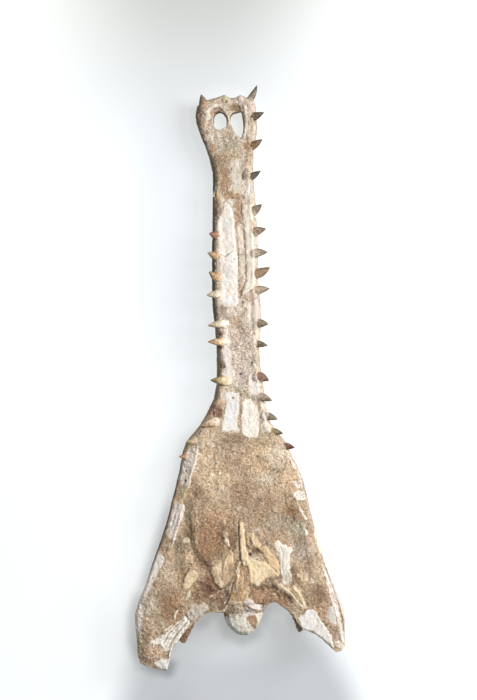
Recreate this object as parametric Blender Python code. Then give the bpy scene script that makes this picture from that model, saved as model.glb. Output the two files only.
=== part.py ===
"""Fossil skull of a long-snouted marine crocodile, resting on its skull roof with the palate up.

X runs across the skull, +Y to the snout tip and +Z up out of the palate. Outline points are
millimetres in plan. One closed envelope is modelled for the whole skull behind the
premaxilla, and each bone is the part of it that lies inside that bone's own border.
"""

import math

import bmesh
import bpy
from mathutils import Vector

MM = 0.001
GAP = 0.3  # left between neighbouring pieces

# Lengths along the skull.
SNOUT_SEAM = 372.0  # premaxilla to maxilla
PALATE_END = -94.0  # snout to cranium
MAXILLA_END = -150.0  # the maxilla's last tooth lies just ahead of it
TABLE_FRONT = PALATE_END - GAP
TABLE_REAR = -366.0

# Heights.
TABLE_THICK = 15.7
NASAL_TOP = 12.0
SNOUT_ARCH = 5.0  # clearance under the middle of the snout
NASAL_HALF = 14.0
PLATE_DEPTH = 9.0
EXOCCIPITAL_DEPTH = 34.0
SKY = 140.0  # above everything, for cutters
DEEP = -20.0  # below everything, for cutters

# Palate height above the table, from the quadrates forward.
PALATE = [(-500, 90), (-350, 92), (-200, 83), (-100, 72), (0, 62), (200, 51), (400, 43), (480, 40)]

# Left and right border of the skull at each station, behind the premaxilla.
BORDER = [
    (SNOUT_SEAM - GAP, -34, 41),
    (345, -28, 40),
    (318, -29, 41),
    (290, -30, 43),
    (250, -31, 44),
    (205, -33, 45),
    (160, -34, 44),
    (120, -34, 47),
    (88, -31, 47),
    (52, -29, 43),
    (15, -29, 44),
    (-12, -30, 48),
    (-36, -35, 50),
    (-58, -46, 53),
    (-80, -59, 59),
    (-94, -71, 69),
    (-108, -83, 81),
    (-126, -90, 89),
    (-150, -94, 101),
    (-176, -101, 111),
    (-205, -109, 117),
    (-235, -117, 123),
    (-262, -126, 130),
    (-290, -137, 137),
    (-315, -146, 143),
    (-343, -156, 154),
    (-368, -167, 164),
    (-390, -174, 172),
    (-408, -174, 174),
    (-432, -172, 173),
    (-458, -171, 174),
    (-492, -171, 176),
]

# Half-width of the skull roof, and the middle of the skull, along the cranium.
ROOF_HALF = [(-500, 78), (-330, 78), (-230, 70), (-195, 58), (-165, 40), (-130, 34), (-94, 26)]
MIDLINE = [(-500, 4), (-94, 2), (0, 8), (200, 6), (372, 4), (480, -4)]

# Seams between the palate's edge bones and its middle: y, x, lowest z of the edge bone.
SNOUT_SEAM_LEFT = [
    (400, -18, DEEP),
    (290, -17, DEEP),
    (120, -19, DEEP),
    (0, -15.5, DEEP),
    (-60, -25, DEEP),
    (-76, -31, DEEP),
    (PALATE_END, -46, DEEP),
]
SNOUT_SEAM_RIGHT = [
    (400, 28, DEEP),
    (290, 31, DEEP),
    (120, 33, DEEP),
    (0, 32, DEEP),
    (-60, 39, DEEP),
    (PALATE_END, 55, DEEP),
]
CHEEK_SEAM_LEFT = [(PALATE_END, -46, 44), (-112, -62, 50), (MAXILLA_END, -73, 52)]
CHEEK_SEAM_RIGHT = [(PALATE_END, 55, 44), (-120, 75, 50), (MAXILLA_END, 89, 52)]
JUGAL_LEFT = [
    (MAXILLA_END - GAP, -73, 52),
    (-185, -79, 54),
    (-227, -90, 58),
    (-279, -108, 62),
    (-300, -119, 62),
    (-352, -150, 62),
]
JUGAL_RIGHT = [
    (MAXILLA_END - GAP, 89, 52),
    (-190, 97, 54),
    (-238, 108, 60),
    (-281, 122, 62),
    (-336, 142, 62),
    (-380, 157, 62),
]

NASAL = [
    (-12, PALATE_END), (16, PALATE_END), (20, 0), (20, 200), (17, 500), (-11, 500),
    (-8, 200), (-8, 0),
]
PREMAXILLA = [
    (-29, 350), (-31, 366), (-36, 378), (-40, 391), (-45, 403), (-50, 417), (-54, 431),
    (-55, 444), (-53, 458), (-45, 466), (-32, 469), (-20, 472), (-6, 477), (4, 471),
    (12, 471), (22, 476), (32, 471), (43, 466), (47, 455), (48, 425), (47, 408), (44, 394),
    (41, 379), (40, 350),
]
# Height as a share of the palate's, then the outline's share of its width and length.
PREMAXILLA_RINGS = [
    (0.0, 0.70, 0.92),
    (0.1, 0.87, 0.96),
    (0.3, 0.97, 0.99),
    (0.55, 1.0, 1.0),
    (0.8, 0.985, 0.996),
    (0.94, 0.93, 0.98),
    (1.0, 0.85, 0.96),
]
HOLE_ROUND = [
    (-15, 446), (-9, 444), (-4, 437), (-3, 430), (-6, 422), (-15, 418), (-21, 420),
    (-24, 429), (-24, 437), (-21, 443),
]
HOLE_TEARDROP = [
    (8, 443), (22, 446), (24, 435), (25, 423), (23, 412), (20, 404), (14, 408), (8, 420),
    (4, 432), (4, 438),
]

PLATE_FRONT_LEFT = [
    (-7, 295), (-11, 288), (-13, 274), (-15, 262), (-15.5, 232), (-16, 180), (-16, 121),
    (-10, 117), (0, 115), (9, 122), (10, 160), (10.5, 190), (8, 226), (6, 262), (3, 282),
]
STRIP_MIDDLE = [
    (7, 282), (9, 262), (11, 226), (13.5, 190), (13, 160), (12, 136), (16, 142), (20, 153),
    (22, 162), (22.5, 187), (21, 221), (20, 246), (19, 263), (17, 287),
]
PLATE_FRONT_RIGHT = [
    (21, 288), (23, 263), (24, 237), (25.5, 212), (26, 187), (25, 162), (21, 150),
    (14, 134), (22, 137), (28, 145), (30.5, 160), (30.5, 212), (29.5, 279), (28, 289),
]
PLATE_REAR_LEFT = [
    (-14, -25), (7, -26), (7, -56), (4, -72), (5, -84), (4, -92), (-6, -88), (-24, -89),
    (-23, -72), (-19, -58), (-15, -47),
]
PLATE_REAR_RIGHT = [
    (12, -42), (19, -37), (25, -38), (29, -43), (34, -53), (37, -65), (38, -81), (36, -91),
    (24, -91), (15, -90), (10, -87),
]

QUADRATE_LEFT = [
    (-94, -394), (-89, -397), (-80, -406), (-60, -420), (-60, -500), (-190, -500),
    (-190, -431), (-146, -431), (-133, -425), (-126, -415), (-116, -410), (-106, -402),
]
QUADRATE_RIGHT = [
    (113, -389), (119, -387), (126, -391), (131, -401), (137, -411), (147, -422),
    (153, -431), (190, -431), (190, -500), (70, -500), (70, -406), (95, -403), (104, -399),
    (108, -394),
]
EXOCCIPITAL_LEFT = [
    (-82, -383), (-72, -375), (-59, -370), (-52, -382), (-52, -405), (-66, -408),
    (-79, -402), (-86, -395), (-88, -387),
]
CONDYLE = [
    (39, -375), (40, -388), (36, -402), (30, -415), (23, -424), (14, -431), (4, -431),
    (-4, -429), (-12, -422), (-19, -414), (-23, -403), (-25, -390), (-21, -375),
]
# Height, then the outline's share of its size about the middle of the condyle.
CONDYLE_RINGS = [(40, 0.45), (46, 0.76), (56, 0.95), (67, 1.0), (79, 0.93), (87, 0.72), (90, 0.4)]
REAR_EDGE = [
    (-210, -520), (-210, -462), (-169, -462), (-167, -471), (-151, -477), (-135, -481),
    (-123, -483), (-119, -468), (-116, -454), (-110, -442), (-100, -430), (-88, -415),
    (-78, -406), (-68, -400), (-58, -391), (-50, -388), (-28, -389), (-22, -384), (36, -383),
    (43, -381), (50, -375), (59, -374), (67, -379), (77, -386), (87, -396), (95, -409),
    (103, -419), (124, -428), (135, -437), (145, -447), (158, -459), (165, -458), (172, -451),
    (176, -443), (210, -443), (210, -520),
]

SEPTUM = [
    (2, -240), (5, -238), (9, -240), (10, -262), (11, -278), (15, -290), (16, -300),
    (2, -300), (1, -278),
]
PTERYGOID_LEFT = [
    (-46, -318), (-38, -312), (-27, -302), (-20, -290), (-18, -258), (-14, -258),
    (-12, -286), (-7, -296), (-10, -312), (-13, -327), (-20, -338), (-28, -346),
    (-37, -343), (-43, -330),
]
PTERYGOID_RIGHT = [
    (19, -302), (30, -300), (38, -299), (36, -284), (40, -280), (52, -298), (65, -315),
    (65, -325), (60, -331), (45, -332), (38, -336), (31, -344), (21, -341), (20, -323),
]
BASISPHENOID = [
    (-3, -312), (2, -303), (13, -303), (16, -323), (17.5, -343), (17, -366), (12, -372),
    (-14, -372), (-16, -366), (-10, -343), (-6, -322),
]
ECTOPTERYGOID_RIGHT = [
    (72, -350), (77, -347), (84, -354), (90, -351), (99, -358), (105, -371), (108, -384),
    (103, -384), (94, -373), (82, -362),
]
FLANGE_RIGHT = [
    (62, -281), (67, -275), (73, -279), (80, -284), (88, -286), (84, -298), (86, -318),
    (84, -323), (87, -337), (82, -343), (70, -344), (68, -321), (68, -304), (67, -293),
]
CHIP_LEFT = [
    (-81, -316), (-74, -319), (-71, -329), (-81, -342), (-88, -350), (-95, -350),
    (-91, -333), (-86, -322),
]

ROOF_OUTLINE = [
    (-24, TABLE_FRONT), (26, TABLE_FRONT), (34, -120), (38, -150), (44, -172), (62, -196),
    (74, -232), (82, -300), (84, -356), (70, TABLE_REAR), (30, -360), (4, -364),
    (-22, -360), (-62, TABLE_REAR), (-76, -356), (-74, -300), (-66, -232), (-54, -196),
    (-36, -172), (-30, -150), (-28, -120),
]
FOSSA_HALF_WIDTH = 21.0
FOSSA_FROM_MIDLINE = 31.0
FOSSA_LENGTH = (-340.0, -222.0)
PRONG_LEFT = [(-66, -352, 9), (-80, -398, 22), (-97, -441, 29)]
PRONG_RIGHT = [(74, -352, 9), (88, -398, 21), (102, -431, 27)]
PRONG_RADIUS = 4.6
ORBITS = [(-66, -172), (74, -172)]

ROOT = 2.0  # of each tooth, inside the jaw
# Teeth: base x, y; tip x, y; width at the base; rise of the tip above its base.
TEETH_PREMAXILLA = [
    (-40, 457, -43, 477, 12, 9),
    (36, 462, 49, 490, 11, 9),
    (39, 437, 60, 443, 13, 10),
    (39, 388, 56, 398, 13, 9),
]
TEETH_LEFT = [
    (-26, 300, -25, 318, 12, 9),
    (-27, 239, -37, 241, 12, 9),
    (-24, 206, -41, 210, 12, 9),
    (-25, 171, -39, 177, 13, 9),
    (-25, 138, -43, 139, 12, 9),
    (-25, 88, -42, 86, 12, 9),
    (-24, 59, -44, 59, 11, 9),
    (-23, -7, -40, -5, 12, 9),
    (-39, -76, -59, -79, 12, 8),
    (-68, -107, -83, -105, 10, 8),
    (-84, -131, -94, -130, 10, 7),
]
TEETH_RIGHT = [
    (38, 335, 51, 344, 11, 8),
    (37, 279, 52, 287, 13, 9),
    (38, 242, 58, 248, 13, 9),
    (39, 207, 61, 208, 12, 9),
    (40, 175, 63, 180, 14, 10),
    (40, 144, 62, 146, 13, 9),
    (42, 88, 58, 87, 13, 9),
    (40, 52, 56, 51, 11, 8),
    (40, -3, 58, -7, 14, 9),
    (44, -37, 63, -41, 13, 9),
    (55, -68, 70, -73, 12, 8),
    (64, -94, 79, -96, 11, 8),
    (83, -118, 97, -120, 10, 8),
]
# Empty sockets in the left maxilla: x, y, length.
SOCKETS_LEFT = [(-24, 72, 9), (-24, 49, 8), (-23, 18, 13), (-36, -61, 12)]

COLOURS = {
    "old_bone": (0.62, 0.50, 0.37),
    "pale_bone": (0.80, 0.74, 0.66),
    "gold_bone": (0.66, 0.50, 0.31),
    "sandy_matrix": (0.45, 0.34, 0.23),
    "roof_bone": (0.52, 0.40, 0.28),
}


def value_at(table, y):
    """Straight-line value between the rows of a table of (y, value)."""
    rows = sorted(table)
    if y <= rows[0][0]:
        return rows[0][1]
    for low, high in zip(rows, rows[1:]):
        if y <= high[0]:
            share = (y - low[0]) / (high[0] - low[0])
            return low[1] + share * (high[1] - low[1])
    return rows[-1][1]


def smooth(start, end, value):
    share = min(1.0, max(0.0, (value - start) / (end - start)))
    return share * share * (3 - 2 * share)


def mix(first, second, share):
    return first + (second - first) * share


def palate_height(y):
    return value_at(PALATE, y)


def clear_scene():
    for obj in list(bpy.data.objects):
        bpy.data.objects.remove(obj, do_unlink=True)


def new_collection(name):
    collection = bpy.data.collections.new(name)
    bpy.context.scene.collection.children.link(collection)
    return collection


def bone_material(name):
    material = bpy.data.materials.new(name)
    material.use_nodes = True
    shader = material.node_tree.nodes["Principled BSDF"]
    shader.inputs["Base Color"].default_value = (*COLOURS[name], 1.0)
    shader.inputs["Roughness"].default_value = 0.85
    shader.inputs["Metallic"].default_value = 0.0
    return material


def add_mesh(name, bm, collection):
    bmesh.ops.recalc_face_normals(bm, faces=bm.faces[:])
    bmesh.ops.triangulate(bm, faces=bm.faces[:])
    mesh = bpy.data.meshes.new(name)
    bm.to_mesh(mesh)
    bm.free()
    obj = bpy.data.objects.new(name, mesh)
    collection.objects.link(obj)
    return obj


def loft(name, rings, collection):
    """A closed solid through rings of the same number of points, in millimetres."""
    bm = bmesh.new()
    rows = [[bm.verts.new(Vector(point) * MM) for point in ring] for ring in rings]
    for lower, upper in zip(rows, rows[1:]):
        for index in range(len(lower)):
            after = (index + 1) % len(lower)
            bm.faces.new((lower[index], lower[after], upper[after]))
            bm.faces.new((lower[index], upper[after], upper[index]))
    bm.faces.new(rows[0])
    bm.faces.new(rows[-1])
    return add_mesh(name, bm, collection)


def grown(points, distance):
    """The outline moved outward by a distance, or inward when it is negative."""
    area = sum(a[0] * b[1] - b[0] * a[1] for a, b in zip(points, points[1:] + points[:1]))
    sign = 1.0 if area > 0 else -1.0
    moved = []
    for index, point in enumerate(points):
        here = Vector(point)
        before = (here - Vector(points[index - 1])).normalized()
        after = (Vector(points[(index + 1) % len(points)]) - here).normalized()
        normals = [Vector((edge.y, -edge.x)) * sign for edge in (before, after)]
        corner = (normals[0] + normals[1]).normalized()
        reach = distance / max(0.5, corner.dot(normals[0]))
        moved.append(tuple(here + corner * reach))
    return moved


def resized(points, share):
    middle_x = sum(point[0] for point in points) / len(points)
    middle_y = sum(point[1] for point in points) / len(points)
    return [(mix(middle_x, x, share), mix(middle_y, y, share)) for x, y in points]


class Skull:
    """Builds the pieces, with their cutters in a collection of their own."""

    def __init__(self):
        self.pieces = new_collection("crocodile_skull")
        self.cutters = new_collection("cutters")
        self.cutters.hide_render = True
        self.materials = {name: bone_material(name) for name in COLOURS}

    def cutter(self, name, rings):
        obj = loft(name, rings, self.cutters)
        obj.display_type = "WIRE"
        obj.hide_render = True
        return obj

    def prism(self, name, points, low, high, grow=0.0):
        outline = grown(points, grow) if grow else points
        rings = [[(x, y, z) for x, y in outline] for z in (low - grow, high)]
        return self.cutter(name, rings)

    def edge_bar(self, name, seam, side, grow=0.0):
        """The space outside a seam: a bar whose inner wall and floor follow the seam's rows."""
        rows = [list(row) for row in seam]
        rows[0][0] += grow
        rows[-1][0] -= grow
        rings = []
        for y, x, low in rows:
            inner = x - side * grow
            outer = side * 260.0
            floor = low - grow
            rings.append([(outer, y, floor), (inner, y, floor), (inner, y, SKY), (outer, y, SKY)])
        return self.cutter(name, rings)

    def keep(self, obj, cutter):
        self.combine(obj, cutter, "INTERSECT")

    def cut(self, obj, *cutters):
        for cutter in cutters:
            self.combine(obj, cutter, "DIFFERENCE")

    def combine(self, obj, other, operation):
        modifier = obj.modifiers.new(other.name, "BOOLEAN")
        modifier.operation = operation
        modifier.solver = "EXACT"
        modifier.object = other

    def finish(self, obj, colour):
        obj.data.materials.clear()
        obj.data.materials.append(self.materials[colour])
        obj.data.shade_smooth()
        obj.data.set_sharp_from_angle(angle=math.radians(35))

    def from_envelope(self, name, colour, envelope):
        obj = bpy.data.objects.new(name, envelope.data.copy())
        self.pieces.objects.link(obj)
        self.finish(obj, colour)
        return obj


def roof_side(y, middle, half):
    """Half-width and height of the lowest band of the skull's side, from snout to quadrates."""
    back = smooth(-370, -420, y)
    roof = value_at(ROOF_HALF, y)
    low = mix(TABLE_THICK + GAP, 50.0, back)
    return mix(roof + 10.0, half - 14.0, back), low, mix(roof - 4.0, half * 0.5, back)


def envelope_ring(y, left, right):
    """The skull's outer section at one station, counted round from its left side."""
    high = palate_height(y)
    flare = smooth(-60, -150, y)
    groove = smooth(-175, -220, y) * (1 - smooth(-300, -345, y))
    middle = value_at(MIDLINE, y)
    half = (right - left) / 2
    side, low, base = roof_side(y, middle, half)
    lowest = mix(SNOUT_ARCH, low, flare)
    crest = mix(9.0, 19.0, flare)
    widest = mix(0.55 * high, high - 12.0, flare)
    shoulder = mix(0.8 * high, high - 7.0, flare)
    skirt = mix(0.28 * high, high - 31.0, flare)
    tuck = mix(3.0, 9.0, flare)
    dome = mix(0.0, 2.0, flare)
    ring = [
        (left, widest),
        (left + 1.5, shoulder),
        (left + 5, high - 3.5),
        (left + crest, high),
        (mix(left + crest, middle, 0.22), high - 1.0 - 8.0 * groove),
        (mix(left + crest, middle, 0.42), high - 1.0),
        (mix(left + crest, middle, 0.8), high - 1.0 + dome),
        (mix(right - crest, middle, 0.8), high - 1.0 + dome),
        (mix(right - crest, middle, 0.42), high - 1.0),
        (mix(right - crest, middle, 0.2), high - 1.0 - 3.0 * groove),
        (right - crest, high),
        (right - 5, high - 3.5),
        (right - 1.5, shoulder),
        (right, widest),
        (right - tuck, skirt),
        (mix(right - 13, middle + side, flare), mix(lowest + 4, low + 12, flare)),
        (middle + mix(NASAL_HALF, base, flare), lowest),
        (middle - mix(NASAL_HALF, base, flare), lowest),
        (mix(left + 13, middle - side, flare), mix(lowest + 4, low + 12, flare)),
        (left + tuck, skirt),
    ]
    return [(x, y, z) for x, z in ring]


def make_envelope(skull):
    rings = [envelope_ring(*row) for row in BORDER]
    return skull.cutter("envelope", rings)


def make_tooth(skull, name, row):
    """A slightly hooked cone from inside the jaw to its tip."""
    base_x, base_y, tip_x, tip_y, width, rise = row
    base_z = palate_height(base_y) - 7.0
    base = Vector((base_x, base_y, base_z))
    tip = Vector((tip_x, tip_y, base_z + rise))
    along = (tip - base).normalized()
    across = along.cross(Vector((0, 0, 1))).normalized()
    upward = across.cross(along)
    length = (tip - base).length
    rings = []
    for share, size in ((-ROOT / length, 1.0), (0.1, 0.98), (0.4, 0.74), (0.75, 0.4), (1.0, 0.07)):
        bow = 1.6 * math.sin(math.pi * max(share, 0))
        centre = base + along * (share * length) + upward * bow
        radius = width / 2 * size
        ring = []
        for step in range(7):
            turn = 2 * math.pi * step / 7
            side_step = across * radius * math.cos(turn)
            ring.append(centre + side_step + upward * 0.85 * radius * math.sin(turn))
        rings.append(ring)
    return skull.cutter(name, rings)


def add_teeth(skull, bone, rows):
    for number, row in enumerate(rows, 1):
        tooth = make_tooth(skull, f"{bone.name}_tooth_{number}", row)
        skull.combine(bone, tooth, "UNION")


def make_premaxilla(skull):
    rings = []
    rear = PREMAXILLA[0][1]
    for level, width, length in PREMAXILLA_RINGS:
        ring = []
        for x, y in PREMAXILLA:
            middle = value_at(MIDLINE, y)
            new_y = mix(rear, y, length)
            ring.append((mix(middle, x, width), new_y, level * palate_height(new_y)))
        rings.append(ring)
    bone = loft("premaxilla", rings, skull.pieces)
    skull.finish(bone, "old_bone")
    front = [(-200, SNOUT_SEAM), (200, SNOUT_SEAM), (200, 600), (-200, 600)]
    skull.keep(bone, skull.prism("snout_end", front, DEEP, SKY))
    for name, outline in (("hole_round", HOLE_ROUND), ("hole_teardrop", HOLE_TEARDROP)):
        wide = grown(outline, 3.0)
        rings = [[(x, y, DEEP) for x, y in outline], [(x, y, SKY / 2) for x, y in wide]]
        skull.cut(bone, skull.cutter(name, rings))
    add_teeth(skull, bone, TEETH_PREMAXILLA)


def make_maxilla(skull, side_name, snout_seam, cheek_seam, side, teeth, envelope):
    """A wall of the snout with its teeth, and the bar that runs on from it below the cheek."""
    bone = skull.from_envelope(f"maxilla_{side_name}", "old_bone", envelope)
    step = (PALATE_END + 2 * GAP, *snout_seam[-1][1:])
    seam = snout_seam[:-1] + [step] + cheek_seam
    skull.keep(bone, skull.edge_bar(f"maxilla_{side_name}_space", seam, side))
    add_teeth(skull, bone, teeth)
    return bone


def cut_sockets(skull, bone):
    for number, (x, y, length) in enumerate(SOCKETS_LEFT, 1):
        outline = []
        for step in range(8):
            turn = 2 * math.pi * step / 8
            outline.append((x + 3.4 * math.cos(turn), y + length / 2 * math.sin(turn)))
        high = palate_height(y)
        rings = [[(px, py, high - 6) for px, py in resized(outline, 0.6)]]
        rings.append([(px, py, high + 6) for px, py in resized(outline, 1.2)])
        skull.cut(bone, skull.cutter(f"socket_{number}", rings))


def make_inlay(skull, name, outline, depth, envelope, colour):
    """A bone let into the top of the envelope, flush with it. Returns the recess it needs."""
    heights = [palate_height(y) for _, y in outline]
    floor = min(heights) - depth
    bone = skull.from_envelope(name, colour, envelope)
    skull.keep(bone, skull.prism(f"{name}_space", outline, floor, SKY))
    return skull.prism(f"{name}_recess", outline, floor, SKY, GAP)


def make_raised(skull, name, outline, height, colour):
    """A bone that stands out of the palate. Returns the recess it needs."""
    heights = [palate_height(y) for _, y in outline]
    floor = min(heights) - 10.0
    levels = [(floor, 0.0), (max(heights) + 0.4 * height, 0.0), (max(heights) + height, -1.6)]
    rings = [[(x, y, z) for x, y in grown(outline, inset)] for z, inset in levels]
    bone = loft(name, rings, skull.pieces)
    skull.finish(bone, colour)
    return skull.prism(f"{name}_recess", outline, floor, SKY, GAP)


def make_condyle(skull):
    centre_y = -400.0
    rings = []
    for z, share in CONDYLE_RINGS:
        rings.append([(mix(7, x, share), mix(centre_y, y, share), z) for x, y in CONDYLE])
    bone = loft("basioccipital", rings, skull.pieces)
    skull.finish(bone, "pale_bone")
    return skull.prism("basioccipital_recess", CONDYLE, 20.0, SKY, GAP)


def make_prong(skull, name, points, grow=0.0):
    """A round bar through the points, a squamosal prong."""
    radius = PRONG_RADIUS + grow
    rings = []
    for x, y, z in points:
        ring = []
        for step in range(8):
            turn = 2 * math.pi * step / 8
            ring.append((x + radius * math.cos(turn), y, z + radius * math.sin(turn)))
        rings.append(ring)
    return skull.cutter(name, rings)


def oval(middle_x, half_width, rear, front, points=12):
    outline = []
    for step in range(points):
        turn = 2 * math.pi * step / points
        y = mix(rear, front, 0.5 + 0.5 * math.sin(turn))
        outline.append((middle_x + half_width * math.cos(turn), y))
    return outline


def make_roof(skull):
    """The skull roof that the skull lies on. Returns the room its two prongs need."""
    levels = [(0.0, -4.0), (2.5, -1.0), (7.0, 0.0), (TABLE_THICK, 0.0)]
    rings = [[(x, y, z) for x, y in grown(ROOF_OUTLINE, inset)] for z, inset in levels]
    roof = loft("skull_roof", rings, skull.pieces)
    skull.finish(roof, "roof_bone")
    for side in (-1, 1):
        middle_x = 4 + side * FOSSA_FROM_MIDLINE
        outline = oval(middle_x, FOSSA_HALF_WIDTH, *FOSSA_LENGTH)
        skull.cut(roof, skull.prism(f"fossa_{side}", outline, DEEP, SKY))
    room = []
    for name, points in (("prong_left", PRONG_LEFT), ("prong_right", PRONG_RIGHT)):
        skull.combine(roof, make_prong(skull, name, points), "UNION")
        room.append(make_prong(skull, f"{name}_recess", points, GAP))
    return room


def make_orbit(skull, number, x, y):
    rings = []
    for z, share in ((10, 1.1), (30, 1.0), (46, 0.7), (52, 0.3)):
        rings.append([(px, py, z) for px, py in resized(oval(x, 22, y - 30, y + 26), share)])
    return skull.cutter(f"orbit_{number}", rings)


def make_rostrum(skull, envelope, plates):
    front = [(-300, PALATE_END), (300, PALATE_END), (300, 600), (-300, 600)]
    core = skull.from_envelope("rostrum_matrix", "sandy_matrix", envelope)
    skull.keep(core, skull.prism("rostrum_space", front, DEEP, SKY))
    skull.cut(core, skull.edge_bar("maxilla_left_wall", SNOUT_SEAM_LEFT, -1, GAP))
    skull.cut(core, skull.edge_bar("maxilla_right_wall", SNOUT_SEAM_RIGHT, 1, GAP))
    skull.cut(core, *plates)
    nasal = skull.from_envelope("nasal", "roof_bone", envelope)
    skull.keep(nasal, skull.prism("nasal_space", NASAL, DEEP, NASAL_TOP))
    skull.cut(core, skull.prism("nasal_recess", NASAL, DEEP, NASAL_TOP + GAP, GAP))


def make_cranium(skull, envelope, recesses):
    rear = [(-300, TABLE_FRONT), (300, TABLE_FRONT), (300, -600), (-300, -600)]
    matrix = skull.from_envelope("cranium_matrix", "sandy_matrix", envelope)
    skull.keep(matrix, skull.prism("cranium_space", rear, TABLE_THICK + GAP, SKY))
    skull.cut(matrix, *recesses)
    for number, (x, y) in enumerate(ORBITS, 1):
        skull.cut(matrix, make_orbit(skull, number, x, y))


def stand_on_origin(skull):
    """Moves every piece and cutter so that the skull's base centre is the origin."""
    bpy.context.view_layer.update()
    graph = bpy.context.evaluated_depsgraph_get()
    corners = []
    for obj in skull.pieces.objects:
        shape = obj.evaluated_get(graph)
        corners += [shape.matrix_world @ Vector(corner) for corner in shape.bound_box]
    low = Vector([min(corner[axis] for corner in corners) for axis in range(3)])
    high = Vector([max(corner[axis] for corner in corners) for axis in range(3)])
    shift = Vector((-(low.x + high.x) / 2, -(low.y + high.y) / 2, -low.z))
    for obj in list(skull.pieces.objects) + list(skull.cutters.objects):
        obj.location = shift


def make_skull_envelope(skull):
    """The envelope with its notched rear edge cut, as a plain mesh that the bones copy."""
    envelope = make_envelope(skull)
    skull.cut(envelope, skull.prism("rear_edge", REAR_EDGE, DEEP, SKY))
    bpy.context.view_layer.update()
    graph = bpy.context.evaluated_depsgraph_get()
    shape = bpy.data.meshes.new_from_object(envelope.evaluated_get(graph))
    envelope.modifiers.clear()
    envelope.data = shape
    return envelope


def make_maxillae(skull, envelope):
    seams = (SNOUT_SEAM_LEFT, CHEEK_SEAM_LEFT)
    left = make_maxilla(skull, "left", *seams, -1, TEETH_LEFT, envelope)
    cut_sockets(skull, left)
    seams = (SNOUT_SEAM_RIGHT, CHEEK_SEAM_RIGHT)
    make_maxilla(skull, "right", *seams, 1, TEETH_RIGHT, envelope)


def make_palatal_plates(skull, envelope):
    recesses = []
    for name, outline in (
        ("palatal_plate_front_left", PLATE_FRONT_LEFT),
        ("palatal_strip", STRIP_MIDDLE),
        ("palatal_plate_front_right", PLATE_FRONT_RIGHT),
        ("palatal_plate_rear_left", PLATE_REAR_LEFT),
        ("palatal_plate_rear_right", PLATE_REAR_RIGHT),
    ):
        recesses.append(make_inlay(skull, name, outline, PLATE_DEPTH, envelope, "pale_bone"))
    return recesses


def make_jugals(skull, envelope):
    recesses = []
    for name, seam, side in (("jugal_left", JUGAL_LEFT, -1), ("jugal_right", JUGAL_RIGHT, 1)):
        bone = skull.from_envelope(name, "pale_bone", envelope)
        skull.keep(bone, skull.edge_bar(f"{name}_space", seam, side))
        recesses.append(skull.edge_bar(f"{name}_recess", seam, side, GAP))
    return recesses


def make_rear_bones(skull, envelope):
    recesses = []
    for name, outline, depth in (
        ("quadrate_left", QUADRATE_LEFT, SKY),
        ("quadrate_right", QUADRATE_RIGHT, SKY),
        ("exoccipital_left", EXOCCIPITAL_LEFT, EXOCCIPITAL_DEPTH),
    ):
        recesses.append(make_inlay(skull, name, outline, depth, envelope, "pale_bone"))
    return recesses


def make_raised_bones(skull):
    recesses = []
    for name, outline, height, colour in (
        ("choanal_septum", SEPTUM, 7.0, "gold_bone"),
        ("pterygoid_left", PTERYGOID_LEFT, 3.0, "gold_bone"),
        ("pterygoid_right", PTERYGOID_RIGHT, 4.0, "gold_bone"),
        ("basisphenoid", BASISPHENOID, 6.0, "gold_bone"),
        ("ectopterygoid_right", ECTOPTERYGOID_RIGHT, 4.0, "gold_bone"),
        ("pterygoid_flange_right", FLANGE_RIGHT, 4.0, "pale_bone"),
        ("bone_chip_left", CHIP_LEFT, 2.0, "gold_bone"),
    ):
        recesses.append(make_raised(skull, name, outline, height, colour))
    return recesses


def main():
    clear_scene()
    skull = Skull()
    envelope = make_skull_envelope(skull)
    make_premaxilla(skull)
    make_maxillae(skull, envelope)
    make_rostrum(skull, envelope, make_palatal_plates(skull, envelope))
    recesses = [
        skull.edge_bar("maxilla_left_end", CHEEK_SEAM_LEFT, -1, GAP),
        skull.edge_bar("maxilla_right_end", CHEEK_SEAM_RIGHT, 1, GAP),
    ]
    recesses += make_jugals(skull, envelope)
    recesses += make_rear_bones(skull, envelope)
    recesses += make_raised_bones(skull)
    recesses.append(make_condyle(skull))
    recesses += make_roof(skull)
    make_cranium(skull, envelope, recesses)
    stand_on_origin(skull)


main()
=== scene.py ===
import math

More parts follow.
